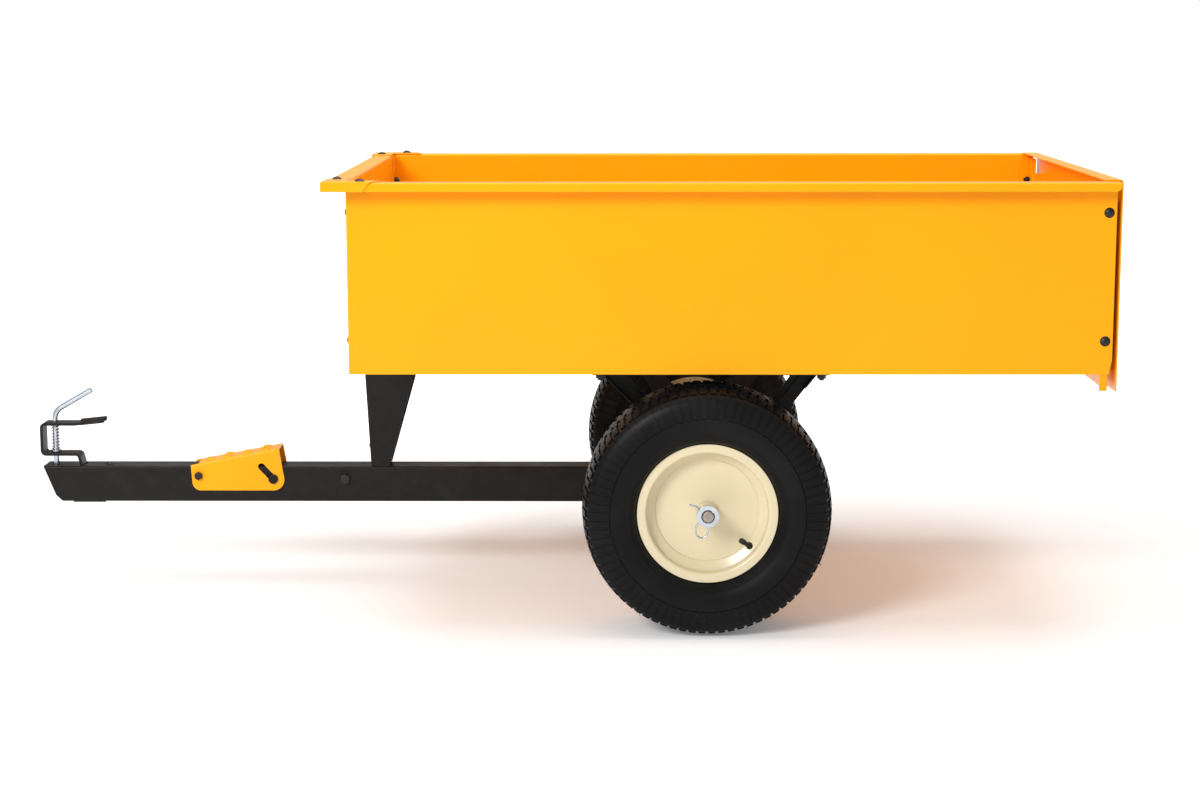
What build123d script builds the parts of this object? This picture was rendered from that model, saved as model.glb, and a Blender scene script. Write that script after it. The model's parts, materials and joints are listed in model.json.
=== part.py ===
from build123d import *
import os
from math import atan2, cos, degrees, radians, sin, sqrt, tan

# A two-wheeled tow-behind dump cart for a garden tractor.
# Millimetres, +Z up. The hitch points along -X, the tailgate along +X, and the left side is -Y.
# The drawing below is measured from the axle (X = 0 at the axle, Z = 0 on the ground). On export the
# whole cart is moved along X so that the origin is the middle of its footprint.

# ---- wheels and axle ----
TYRE_DIAMETER = 406.4
TYRE_WIDTH = 165.0
TYRE_WALL = 9.5
BEAD_WIDTH = 14.0
WHEEL_TRACK = 710.0
RIM_SEAT_DIAMETER = 203.2
RIM_FLANGE_DIAMETER = 227.4
RIM_WIDTH = 124.0
RIM_WELL_DIAMETER = 173.0
RIM_SHEET = 3.0
DISC_OFFSET = 31.0
DISC_CROWN = 9.0
DISC_FLAT = 0.68
DISC_BEND = 180.0
HUB_DIAMETER = 34.0
HUB_BORE = 25.4
HUB_LENGTH = 140.0
BUSH_FLANGE = 2.0
BUSH_FLANGE_DIAMETER = 33.0
BUSH_DEPTH = 25.0
AXLE_DIAMETER = 19.05
AXLE_LENGTH = 888.0
AXLE_CHAMFER = 1.5
HUB_SPACER_DIAMETER = 30.0
CLIP_WIRE = 3.0
CLIP_RING_RADIUS = 9.6
CLIP_GAP = 1.5
END_WASHER_DIAMETER = 35.6
END_WASHER_HOLE = 21.6
END_WASHER_THICKNESS = 8.0
END_WASHER_TAB = 3.0
VALVE_STEM_DIAMETER = 8.6
VALVE_STEM_LENGTH = 29.0
VALVE_ANGLE = 130.0
VALVE_ROOT_OUT = 6.0

# ---- fits ----
RUNNING_CLEARANCE = 0.05
SLIDE_GAP = 0.5
BOLT_CLEARANCE = 0.3
WELD_IN = 0.5

# ---- tongue ----
TONGUE_WIDTH = 50.8
TONGUE_HEIGHT = 63.5
TONGUE_WALL = 2.5
TONGUE_CORNER = 3.0
TONGUE_FRONT = 1170.0
TONGUE_FRONT_RAKE = 33.0
TONGUE_TOP_ABOVE_AXLE = 1.2
TONGUE_REAR = 48.0
SLEEVE_DIAMETER = 28.0
SLEEVE_LENGTH = 220.0
GUSSET_REACH = 90.0
GUSSET_SHEET = 5.0
SPACER_DIAMETER = 26.0
WEAR_PLATE = (57.0, 44.0, 2.0)
WEAR_PLATE_X = -1090.5

# ---- hitch ----
STRAP_WIDTH = 32.0
STRAP_THICKNESS = 5.0
STRAP_FRONT = 1176.0
STRAP_LEG_X = -1102.5
STRAP_LEG_LEAN = 6.0
STRAP_BEND = 7.0
TAIL_BEND = 5.0
DRAWBAR_GAP = 17.1
STRAP_WINDOW = 49.5
HANDLE_START_X = -1115.0
HANDLE_END_X = -1057.0
HANDLE_RISE = 6.0
HANDLE_ARCH_WIDTH = 30.0
HANDLE_ARCH_RISE = 10.0
HANDLE_ARCH_SHEET = 4.0
STRAP_TAIL_X = -1040.0
STRAP_BOLT_X = -1058.0
PIN_X = -1152.0
PIN_DIAMETER = 9.7
PIN_DEPTH = 12.0
PIN_BEND_Z = 300.0
PIN_BEND_RADIUS = 24.0
PIN_ARM_REACH = 67.0
PIN_ARM_RISE = 38.5
SPRING_GAP = 0.45
SPRING_WIRE = 1.8
SPRING_TURNS = 8.5
PIN_WASHER_DIAMETER = 18.6
PIN_WASHER_THICKNESS = 2.0
PIN_CLIP_DIAMETER = 14.0
PIN_CLIP_THICKNESS = 1.2

# ---- foot pedal and latch ----
PEDAL_PIVOT_X = -892.3
PEDAL_PIVOT_BELOW_TOP = 16.3
PEDAL_SHEET = 2.5
PEDAL_SLOPE = 10.95
PEDAL_TOP_OFFSET = 21.4
PEDAL_BEND = 3.0
PEDAL_FRONT_REACH = 15.5
PEDAL_REAR_REACH = 143.5
PEDAL_REAR_LEAN = 12.6
PEDAL_DROP = 26.8
PEDAL_FRONT_CORNER = 15.0
PEDAL_REAR_CORNER = 20.0
CAM_PIN_X = -759.3
CAM_PIN_DIAMETER = 10.0
CAM_PIN_HEAD = 17.0
CAM_PIN_HEAD_THICKNESS = 3.5
CAM_SLOT_WIDTH = 12.2
CAM_SLOT_RUN = 20.7
CAM_SLOT_RISE = 22.1
GRIP_START = 20.0
GRIP_ROWS = 4
GRIP_PITCH = 34.5
GRIP_SPREAD = 26.0
GRIP_HOLE = 10.0
GRIP_BASE = 19.0
GRIP_HEIGHT = 3.5
LATCH_DROP = 22.0
LATCH_TRAVEL = 18.57
LATCH_BAR_HEIGHT = 24.0
LATCH_BAR_THICKNESS = 8.0
LATCH_NOSE_HEIGHT = 12.0
LATCH_NOSE_LENGTH = 24.0
LATCH_NOSE_PAST_PLATE = 9.0
GUIDE_BOLT_X = -631.0
GUIDE_BOLT_DIAMETER = 10.0
PIVOT_BOLT_DIAMETER = 8.0
PIVOT_BOLT = (PIVOT_BOLT_DIAMETER, 13.0, 5.3)
GUIDE_BOLT = (GUIDE_BOLT_DIAMETER, 15.0, 6.4)
LATCH_SPRING_DIAMETER = 22.0
LATCH_SPRING_WIRE = 2.2
LATCH_SPRING_TURNS = 6.0
LATCH_SPRING_LENGTH = 42.0
SPRING_SEAT_SHEET = 4.0

# ---- bed ----
BED_FRONT = 578.0
BED_SIDE_REAR = 648.0
BED_WIDTH = 766.8
BED_UNDERSIDE = 425.0
BED_DEPTH = 310.0
SHEET = 2.0
BEND = 3.0
RIM_FLANGE = 35.0
RIM_LIP = 14.0
LIP_CORNER = 9.0
FLOOR_UPTURN = 22.0
FLOOR_REAR_X = 642.0
REAR_LIP_DROP = 27.0
REAR_LIP_END = 13.0
FRONT_TAB = 30.0
SIDE_CORNER_RELIEF = (5.0, 23.0)
CAP_REACH = 43.0
CAP_SLANT = 12.0
CAP_BOLT_SETBACK = 25.0
PANEL_BOLT_INSET = 18.4
PANEL_BOLT_LOW = 54.0
PANEL_BOLT_HIGH = 260.0
POST_SHEET = 2.5
POST_DEPTH = 31.0
POST_RETURN = 30.0
POST_TOP_GAP = 8.0
POST_BOLT_X = 636.0

# ---- tailgate ----
TAILGATE_REAR = 657.0
TAILGATE_BOTTOM = 397.0
TAILGATE_FLANGE = 30.0
HOOK_OFFSET = 37.5
HOOK_DEPTH = 12.0
HOOK_REACH = 26.0
HOOK_TOP_GAP = 35.0

# ---- axle brackets ----
BRACKET_Y = 262.0
BRACKET_SHEET = 3.0
BRACKET_FRONT_X = -186.0
BRACKET_REAR_X = 197.0
BRACKET_TOP_WIDTH = 113.0
BRACKET_WAIST = (-116.0, 167.0)
BRACKET_WAIST_BELOW = (70.0, 37.0)
BRACKET_ARM = 36.0
BRACKET_HUB_RADIUS = 25.0
BRACKET_RIB = (5.0, 3.0)
BRACKET_FLANGE = 9.0
BRACKET_WINDOW_SILL = 14.0
BOSS_DIAMETER = 34.0
BOSS_BORE = 25.4
BOSS_IN = 14.0
BOSS_OUT = 7.0
BRACKET_BOLT_X = (-173.0, 185.0)
BRACKET_BOLT_Y = 360.0

# ---- latch stand ----
STAND_FRONT_TOP = -592.6
STAND_FRONT_BOTTOM = -584.3
STAND_REAR_TOP = -490.0
STAND_REAR_BOTTOM = -552.0
STAND_TOP_WIDTH = 100.0
STAND_BOTTOM_WIDTH = 50.0
STAND_SHEET = 3.0
STAND_EAR = 36.0
STAND_EAR_END = 14.0
STAND_BOLT_X = (-560.0, -520.0)
STAND_BOLT_Y = 68.0
CATCH_SHEET = 4.0
CATCH_WIDTH = 24.0
CATCH_BELOW_TONGUE_TOP = 38.0
CATCH_ABOVE_TONGUE_TOP = 50.0
CATCH_BOLT_ABOVE_TONGUE_TOP = 34.5
CATCH_PLAY = 1.5

# ---- fasteners ----
BOLT_DIAMETER = 7.94
DOME_DIAMETER = 16.8
DOME_HEIGHT = 4.2
NUT_FLATS = 12.7
NUT_HEIGHT = 6.8
STUD_PAST_NUT = 3.0

# ---- places that follow from the sizes above ----
AXLE_Z = TYRE_DIAMETER / 2
AXLE_RADIUS = AXLE_DIAMETER / 2
SPRING_DIAMETER = PIN_DIAMETER + 2 * (SPRING_GAP + SPRING_WIRE)
WHEEL_Y = WHEEL_TRACK / 2
TONGUE_TOP = AXLE_Z + TONGUE_TOP_ABOVE_AXLE
TONGUE_BOTTOM = TONGUE_TOP - TONGUE_HEIGHT
TONGUE_HALF = TONGUE_WIDTH / 2
LATCH_Z = TONGUE_TOP - LATCH_DROP
PEDAL_PIVOT_Z = TONGUE_TOP - PEDAL_PIVOT_BELOW_TOP
LOWER_ARM_Z = TONGUE_TOP + DRAWBAR_GAP + STRAP_THICKNESS / 2
TOP_ARM_Z = LOWER_ARM_Z + STRAP_THICKNESS + STRAP_WINDOW
BED_HALF = BED_WIDTH / 2
RIM_Z = BED_UNDERSIDE + BED_DEPTH
FLOOR_TOP = BED_UNDERSIDE + SHEET
FRONT_X = -BED_FRONT
CENTRE_X = (TAILGATE_REAR - STRAP_FRONT) / 2
CATCH_X = STAND_FRONT_BOTTOM + STAND_SHEET
PLANE_XZ_UP = Vector(0, -1, 0)


# ---- helpers ----
def block(x0, x1, y0, y1, z0, z1):
    """A box between two opposite corners."""
    middle = Pos((x0 + x1) / 2, (y0 + y1) / 2, (z0 + z1) / 2)
    return middle * Box(abs(x1 - x0), abs(y1 - y0), abs(z1 - z0))


def rod_y(x, z, radius, y0, y1):
    """A round bar across the cart."""
    return Pos(x, (y0 + y1) / 2, z) * Rot(90, 0, 0) * Cylinder(radius, abs(y1 - y0))


def rod_z(x, y, radius, z0, z1):
    """An upright round bar."""
    return Pos(x, y, (z0 + z1) / 2) * Cylinder(radius, abs(z1 - z0))


def plate_xz(points, y0, y1):
    """A flat plate seen from the side, from y0 to y1, with its outline given as (x, z) points."""
    face = make_face(Polyline(*points, close=True))
    return extrude(Plane((0, y1, 0), x_dir=(1, 0, 0), z_dir=PLANE_XZ_UP) * face, y1 - y0)


def plate_xy(points, z0, z1):
    """A flat level plate, with its outline given as (x, y) points."""
    return extrude(Plane((0, 0, z0)) * make_face(Polyline(*points, close=True)), z1 - z0)


def folded_xz(points, sheet, bend, y0, y1):
    """Sheet metal folded about Y: the middle line is given as (x, z) points."""
    strip = trace(FilletPolyline(*points, radius=bend), line_width=sheet)
    return extrude(Plane((0, y1, 0), x_dir=(1, 0, 0), z_dir=PLANE_XZ_UP) * strip, y1 - y0)


def folded_yz(points, sheet, bend, x0, x1):
    """Sheet metal folded about X: the middle line is given as (y, z) points."""
    strip = trace(FilletPolyline(*points, radius=bend), line_width=sheet)
    return extrude(Plane((x0, 0, 0), x_dir=(0, 1, 0), z_dir=(1, 0, 0)) * strip, x1 - x0)


def folded_xy(points, sheet, bend, z0, z1):
    """Sheet metal folded about Z: the middle line is given as (x, y) points."""
    strip = trace(FilletPolyline(*points, radius=bend), line_width=sheet)
    return extrude(Plane((0, 0, z0)) * strip, z1 - z0)


def facing(shape, place, direction):
    """Puts a shape drawn along +Z at a place, with its +Z turned to a direction."""
    return Plane(origin=place, z_dir=direction).location * shape


def other_side(shape):
    """The same piece on the other side of the cart."""
    return mirror(shape, about=Plane.XZ)


def both_sides(shape):
    """A piece and its twin across the cart, as separate solids."""
    return [shape, other_side(shape)]


def carriage_bolt(length):
    """Dome head above Z = 0, shank below it."""
    ball = (DOME_DIAMETER**2 / 4 + DOME_HEIGHT**2) / (2 * DOME_HEIGHT)
    dome = Pos(0, 0, DOME_HEIGHT - ball) * Sphere(ball)
    dome &= Pos(0, 0, DOME_HEIGHT / 2) * Box(DOME_DIAMETER * 2, DOME_DIAMETER * 2, DOME_HEIGHT)
    return dome + Pos(0, 0, -length / 2) * Cylinder(BOLT_DIAMETER / 2, length)


def hexagon(flats, height):
    """A six-sided bar standing on Z = 0."""
    return extrude(RegularPolygon(flats / sqrt(3), 6), height)


def hex_nut(bolt, flats, height):
    """A nut hanging below Z = 0, with a clearance bore for its bolt."""
    nut = Pos(0, 0, -height) * hexagon(flats, height)
    return nut - Pos(0, 0, -height / 2) * Cylinder(bolt / 2 + RUNNING_CLEARANCE, height * 2)


def hex_bolt(bolt, flats, head, length):
    """A hexagon head on Z = 0 with its shank below."""
    return hexagon(flats, head) + Pos(0, 0, -length / 2) * Cylinder(bolt / 2, length)


def bolt_length(grip):
    """Shank length that passes the sheets, the nut and a few threads."""
    return grip + NUT_HEIGHT + STUD_PAST_NUT


def bolts_and_nuts(spots, direction, grip):
    """Carriage bolts on a surface with their nuts behind the sheets that they clamp."""
    bolt = carriage_bolt(bolt_length(grip))
    nut = Pos(0, 0, -grip) * hex_nut(BOLT_DIAMETER, NUT_FLATS, NUT_HEIGHT)
    bolts = [facing(bolt, spot, direction) for spot in spots]
    nuts = [facing(nut, spot, direction) for spot in spots]
    return bolts, nuts


def bolt_hole(spot, direction, depth):
    """A clearance hole centred on a spot, reaching the same depth both ways."""
    return facing(Cylinder(BOLT_DIAMETER / 2 + BOLT_CLEARANCE, depth * 2), spot, direction)


def spring_coil(diameter, wire, turns, length):
    """An open coil spring standing on Z = 0."""
    radius = (diameter - wire) / 2
    rise = length - wire
    line = Helix(pitch=rise / turns, height=rise, radius=radius)
    section = Plane(origin=line @ 0, z_dir=line % 0) * Circle(wire / 2)
    return Pos(0, 0, wire / 2) * sweep(section, path=line, is_frenet=True)


# ---- wheel ----
def wheel_revolve(profile):
    """Turns an outline drawn as (radius, offset from the wheel's middle) about the axle."""
    return Pos(0, -WHEEL_Y, AXLE_Z) * revolve(profile, axis=Axis.Y)


def tyre():
    """Hollow tubeless tyre: crowned tread, bulging wall and two beads on the rim seats."""
    crown = TYRE_DIAMETER / 2
    bulge = TYRE_WIDTH / 2
    bead_r = RIM_SEAT_DIAMETER / 2 + BOLT_CLEARANCE
    bead_y = RIM_WIDTH / 2 - RIM_SHEET - SLIDE_GAP
    flange_r = RIM_FLANGE_DIAMETER / 2
    outer = [
        (crown, 0),
        (crown - 1.0, bulge * 0.42),
        (crown - 4.7, bulge * 0.75),
        (crown - 11.0, bulge * 0.885),
        (crown - 25.0, bulge * 0.965),
        (crown - 46.0, bulge),
        (crown - 66.0, bulge * 0.975),
        (flange_r + 7.5, bulge * 0.87),
        (flange_r + 2.0, bead_y + 5.0),
    ]
    inner = [
        (bead_r + 4.0, bead_y - BEAD_WIDTH),
        (flange_r + 2.5, bead_y - 5.0),
        (crown - 70.0, bulge - TYRE_WALL * 1.3),
        (crown - 47.0, bulge - TYRE_WALL),
        (crown - 23.0, bulge - TYRE_WALL * 1.4),
        (crown - TYRE_WALL * 1.3, bulge * 0.55),
        (crown - TYRE_WALL, 0),
    ]
    wall = Spline(*outer, tangents=[(0, 1), (-1, -0.6)])
    liner = Spline(*inner, tangents=[(0.4, 1), (0, -1)])
    heel = [
        (flange_r + 0.8, bead_y),
        (bead_r + RIM_SHEET, bead_y),
        (bead_r, bead_y - RIM_SHEET),
        (bead_r, bead_y - BEAD_WIDTH),
    ]
    close = Line(liner @ 1, wall @ 0)
    half = make_face([wall, Polyline(wall @ 1, *heel, liner @ 0), liner, close])
    half_tyre = revolve(half, axis=Axis.Y)
    return Pos(0, -WHEEL_Y, AXLE_Z) * (half_tyre + mirror(half_tyre, about=Plane.XZ))


def valve_axis():
    """Root point and direction of the valve stem on the outer side of the left wheel."""
    root_r = (RIM_WELL_DIAMETER + RIM_SEAT_DIAMETER) / 4 - RIM_SHEET
    root_y = -WHEEL_Y - DISC_OFFSET - VALVE_ROOT_OUT
    angle = radians(VALVE_ANGLE)
    outward = Vector(sin(angle), 0, cos(angle))
    root = outward * root_r + Vector(0, root_y, AXLE_Z)
    direction = (outward * -1 + Vector(0, -0.85, 0)).normalized()
    return root, direction


def rim():
    """Drop-centre rim with two flanges, two bead seats and a pressed disc on each side."""
    seat = RIM_SEAT_DIAMETER / 2 - RIM_SHEET / 2
    well = RIM_WELL_DIAMETER / 2 - RIM_SHEET / 2
    edge = RIM_WIDTH / 2 - RIM_SHEET / 2
    shoulder = RIM_WIDTH * 0.34
    flange = RIM_FLANGE_DIAMETER / 2
    half = [(flange, edge), (seat, edge), (seat, shoulder), (well, shoulder - 8.0)]
    barrel = half + [(r, -y) for r, y in reversed(half)]
    sheet = trace(FilletPolyline(*barrel, radius=RIM_SHEET), line_width=RIM_SHEET)
    hub = HUB_DIAMETER / 2
    for side in (1, -1):
        dish = [
            (well, side * DISC_OFFSET),
            (well * DISC_FLAT, side * DISC_OFFSET),
            (hub, side * (DISC_OFFSET + DISC_CROWN)),
        ]
        sheet += trace(FilletPolyline(*dish, radius=DISC_BEND), line_width=RIM_SHEET)
    bore = Rot(90, 0, 0) * Cylinder(hub, RIM_WIDTH * 2)
    solid = Pos(0, -WHEEL_Y, AXLE_Z) * (revolve(sheet, axis=Axis.Y) - bore)
    root, direction = valve_axis()
    return solid - facing(Cylinder(VALVE_STEM_DIAMETER / 2 + 1.5, 24), root, direction)


def hub_tube():
    """Steel tube through the wheel, welded to both discs."""
    inner = -WHEEL_Y + HUB_LENGTH / 2
    tube = rod_y(0, AXLE_Z, HUB_DIAMETER / 2, inner - HUB_LENGTH, inner)
    return tube - rod_y(0, AXLE_Z, HUB_BORE / 2, inner - HUB_LENGTH - 1, inner + 1)


def hub_bushes():
    """Two flanged plastic bushes pushed into the ends of the hub tube."""
    bushes = []
    for side in (1, -1):
        end = -WHEEL_Y + side * HUB_LENGTH / 2
        flange = rod_y(0, AXLE_Z, BUSH_FLANGE_DIAMETER / 2, end, end + side * BUSH_FLANGE)
        barrel = rod_y(0, AXLE_Z, HUB_BORE / 2, end, end - side * BUSH_DEPTH)
        bore = rod_y(0, AXLE_Z, AXLE_RADIUS + RUNNING_CLEARANCE, end - side * 40, end + side * 10)
        bushes.append(flange + barrel - bore)
    return bushes


def valve_stem():
    """Rubber snap-in valve: a grommet in the rim, a stem and a screwed cap."""
    root, direction = valve_axis()
    radius = VALVE_STEM_DIAMETER / 2
    grommet = Pos(0, 0, -1) * Cylinder(radius + 1.3, 12)
    stem = Pos(0, 0, VALVE_STEM_LENGTH / 2 - 4) * Cylinder(radius - 0.7, VALVE_STEM_LENGTH - 8)
    cap = Pos(0, 0, VALVE_STEM_LENGTH - 8) * Cylinder(radius, 9)
    return facing(grommet + stem + cap, root, direction)


# ---- axle group ----
def axle():
    """Solid axle with chamfered ends and a cross hole near each end for its clip."""
    half = AXLE_LENGTH / 2
    bar = rod_y(0, AXLE_Z, AXLE_RADIUS, -half, half)
    bar = chamfer(bar.edges().filter_by(GeomType.CIRCLE), AXLE_CHAMFER)
    for side in (-1, 1):
        bar -= Pos(0, side * clip_y(), AXLE_Z) * Cylinder(CLIP_WIRE / 2 + 0.2, AXLE_DIAMETER * 2)
    return bar


def clip_y():
    """Distance of the clips from the middle of the cart."""
    return WHEEL_Y + HUB_LENGTH / 2 + BUSH_FLANGE + CLIP_GAP + CLIP_WIRE / 2


def axle_clip():
    """Ring-ended wire clip: one leg through the axle, the other round it with a flared tip."""
    ring = CLIP_RING_RADIUS
    outside = AXLE_RADIUS + CLIP_WIRE + 0.3
    points = [
        (0, 14.0),
        (0, -27.0 - ring),
        (-2 * ring, -27.0 - ring),
        (-2 * ring, -19.0),
        (-outside, -9.0),
        (-outside, 8.0),
        (-outside - 5.0, 14.5),
        (-outside - 17.0, 18.0),
    ]
    line = FilletPolyline(*points, radius=[ring - 0.2, ring - 0.2, 5.0, 4.0, 3.5, 4.0])
    path = Plane((0, -clip_y(), AXLE_Z), x_dir=(1, 0, 0), z_dir=PLANE_XZ_UP) * line
    section = Plane(origin=path @ 0, z_dir=path % 0) * Circle(CLIP_WIRE / 2)
    return sweep(section, path=path)


def end_washer():
    """Zinc end washer with an inner tab that bears on the axle."""
    y0 = -clip_y() - CLIP_WIRE / 2 - SLIDE_GAP
    y1 = y0 - END_WASHER_THICKNESS
    ring = rod_y(0, AXLE_Z, END_WASHER_DIAMETER / 2, y0, y1)
    ring -= rod_y(0, AXLE_Z, END_WASHER_HOLE / 2, y0 + 1, y1 - 1)
    reach = (END_WASHER_HOLE / 2 + AXLE_RADIUS) / 2
    depth = END_WASHER_HOLE / 2 - AXLE_RADIUS + 1.0
    tab = Pos(reach + 0.6, 0, 0) * Box(depth, END_WASHER_THICKNESS, END_WASHER_TAB)
    ring += Pos(0, (y0 + y1) / 2, AXLE_Z) * Rot(0, -45, 0) * tab
    return ring - rod_y(0, AXLE_Z, AXLE_RADIUS, y0 + 1, y1 - 1)


def axle_tube(diameter, y0, y1):
    """A plain tube that slips over the axle."""
    tube = rod_y(0, AXLE_Z, diameter / 2, y0, y1)
    return tube - rod_y(0, AXLE_Z, AXLE_RADIUS + RUNNING_CLEARANCE, y0 - 1, y1 + 1)


def boss_inner_y():
    """Inner face of a bracket boss, as a distance from the middle of the cart."""
    return BRACKET_Y - BOSS_IN


def boss_outer_y():
    """Outer face of a bracket boss, as a distance from the middle of the cart."""
    return BRACKET_Y + BOSS_OUT


def axle_spacer():
    """Tube on the axle between the pivot sleeve and a bed bracket."""
    bush_face = boss_inner_y() - BUSH_FLANGE
    return axle_tube(SPACER_DIAMETER, SLEEVE_LENGTH / 2 + SLIDE_GAP, bush_face - SLIDE_GAP)


def hub_spacer():
    """Short tube on the axle between a bed bracket and a wheel hub."""
    hub_face = WHEEL_Y - HUB_LENGTH / 2 - BUSH_FLANGE
    return axle_tube(HUB_SPACER_DIAMETER, boss_outer_y() + BUSH_FLANGE + SLIDE_GAP, hub_face - SLIDE_GAP)


# ---- tongue ----
def tongue_tube():
    """Square drawbar tube with its hitch, pedal, latch and pivot openings."""
    length = TONGUE_FRONT + TONGUE_REAR
    middle = (TONGUE_REAR - TONGUE_FRONT) / 2
    height = (TONGUE_TOP + TONGUE_BOTTOM) / 2
    tube = Box(length, TONGUE_WIDTH, TONGUE_HEIGHT)
    tube = fillet(tube.edges().filter_by(Axis.X), TONGUE_CORNER)
    tube -= Box(length * 2, TONGUE_WIDTH - 2 * TONGUE_WALL, TONGUE_HEIGHT - 2 * TONGUE_WALL)
    tube = Pos(middle, 0, height) * tube
    rake = TONGUE_FRONT_RAKE
    snout = [
        (-TONGUE_FRONT - 5, TONGUE_TOP),
        (-TONGUE_FRONT, TONGUE_TOP),
        (-TONGUE_FRONT + rake * 0.64, TONGUE_BOTTOM + 11),
        (-TONGUE_FRONT + rake, TONGUE_BOTTOM),
        (-TONGUE_FRONT - 5, TONGUE_BOTTOM),
    ]
    tube -= plate_xz(snout, -TONGUE_WIDTH, TONGUE_WIDTH)
    tube -= rod_y(0, AXLE_Z, SLEEVE_DIAMETER / 2, -TONGUE_WIDTH, TONGUE_WIDTH)
    lid = TONGUE_TOP - TONGUE_WALL / 2
    tube -= rod_z(PIN_X, 0, PIN_DIAMETER / 2 + 2 * RUNNING_CLEARANCE, lid - 5, lid + 5)
    tube -= bolt_hole((STRAP_BOLT_X, 0, lid), (0, 0, 1), 5)
    leg = STRAP_THICKNESS / 2 + BOLT_CLEARANCE
    half_strap = STRAP_WIDTH / 2 + BOLT_CLEARANCE
    bend_end = STRAP_LEG_X + TAIL_BEND + BOLT_CLEARANCE
    tube -= block(STRAP_LEG_X - leg - STRAP_LEG_LEAN / 4, bend_end, -half_strap, half_strap, lid - 5, lid + 5)
    tube -= rod_y(PEDAL_PIVOT_X, PEDAL_PIVOT_Z, PIVOT_BOLT_DIAMETER / 2 + RUNNING_CLEARANCE, -40, 40)
    tube -= rod_y(GUIDE_BOLT_X, LATCH_Z, GUIDE_BOLT_DIAMETER / 2 + RUNNING_CLEARANCE, -40, 40)
    slot = CAM_PIN_DIAMETER / 2 + BOLT_CLEARANCE
    for x in (CAM_PIN_X, CAM_PIN_X - LATCH_TRAVEL):
        tube -= rod_y(x, LATCH_Z, slot, -40, 40)
    tube -= block(CAM_PIN_X - LATCH_TRAVEL, CAM_PIN_X, -40, 40, LATCH_Z - slot, LATCH_Z + slot)
    mouth = CATCH_WIDTH / 2 + 2 * CATCH_PLAY
    front = CATCH_X - 3 * CATCH_PLAY
    back = CATCH_X + CATCH_SHEET + 3 * CATCH_PLAY
    tube -= block(front, back, -mouth, mouth, lid - 5, lid + 5)
    return tube


def pivot_sleeve():
    """Cross tube welded into a saddle at the rear of the tongue; the axle passes through it."""
    return axle_tube(SLEEVE_DIAMETER, -SLEEVE_LENGTH / 2, SLEEVE_LENGTH / 2)


def pivot_gusset():
    """Flat triangle that braces the sleeve against the side of the tongue."""
    z = AXLE_Z - SLEEVE_DIAMETER / 2
    root = TONGUE_HALF
    tip = SLEEVE_LENGTH / 2 - 6
    points = [(8, root), (8, tip), (-8, tip), (-GUSSET_REACH, root)]
    return plate_xy(points, z - GUSSET_SHEET, z)


def wear_plate():
    """Skid under the front of the tongue, on which the parked cart rests."""
    length, width, thickness = WEAR_PLATE
    x0 = WEAR_PLATE_X - length / 2
    return block(x0, x0 + length, -width / 2, width / 2, TONGUE_BOTTOM - thickness, TONGUE_BOTTOM)


# ---- hitch ----
def hitch_strap():
    """Flat bar bent into a clevis over the tongue, ending in an arched lift handle."""
    tail_z = TONGUE_TOP - TONGUE_WALL - STRAP_THICKNESS / 2
    front = -STRAP_FRONT + STRAP_THICKNESS / 2
    points = [
        (STRAP_TAIL_X, tail_z),
        (STRAP_LEG_X, tail_z),
        (STRAP_LEG_X - STRAP_LEG_LEAN, LOWER_ARM_Z),
        (front, LOWER_ARM_Z),
        (front, TOP_ARM_Z),
        (HANDLE_START_X, TOP_ARM_Z),
        (HANDLE_END_X, TOP_ARM_Z + HANDLE_RISE),
    ]
    radii = [TAIL_BEND, STRAP_BEND, STRAP_BEND, STRAP_BEND, STRAP_BEND * 3]
    strip = trace(FilletPolyline(*points, radius=radii), line_width=STRAP_THICKNESS)
    side = Plane((0, STRAP_WIDTH / 2, 0), x_dir=(1, 0, 0), z_dir=PLANE_XZ_UP)
    strap = extrude(side * strip, STRAP_WIDTH)
    handle_x0 = HANDLE_START_X + 16
    strap -= block(handle_x0, HANDLE_END_X + 20, -40, 40, TOP_ARM_Z - 20, TOP_ARM_Z + 40)
    strap += lift_handle(handle_x0 - 4)
    pin_hole = PIN_DIAMETER / 2 + 2 * RUNNING_CLEARANCE
    strap -= rod_z(PIN_X, 0, pin_hole, LOWER_ARM_Z - 10, TOP_ARM_Z + 10)
    return strap - bolt_hole((STRAP_BOLT_X, 0, tail_z), (0, 0, 1), 5)


def lift_handle(x0):
    """Arched end of the strap, open underneath and rounded at its tip."""
    outer = (HANDLE_ARCH_WIDTH**2 / 4 + HANDLE_ARCH_RISE**2) / (2 * HANDLE_ARCH_RISE)
    inner = outer - HANDLE_ARCH_SHEET
    keep = outer - HANDLE_ARCH_RISE
    ring = Circle(outer) - Circle(inner)
    arch = ring & (Pos(0, keep + outer) * Rectangle(4 * outer, 2 * outer))
    length = HANDLE_END_X - x0
    slope = degrees(atan2(HANDLE_RISE, HANDLE_END_X - HANDLE_START_X))
    bar = extrude(Plane((0, 0, 0), x_dir=(0, 1, 0), z_dir=(1, 0, 0)) * arch, length)
    tip = rod_z(length - HANDLE_ARCH_WIDTH / 2, 0, HANDLE_ARCH_WIDTH / 2, 0, 3 * outer)
    tip += block(-1, length - HANDLE_ARCH_WIDTH / 2, -outer, outer, 0, 3 * outer)
    drop = STRAP_THICKNESS / 2 + keep + 0.6
    rise = (x0 - HANDLE_START_X) * tan(radians(slope))
    return Pos(x0, 0, TOP_ARM_Z + rise - drop) * Rot(0, -slope, 0) * (bar & tip)


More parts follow.
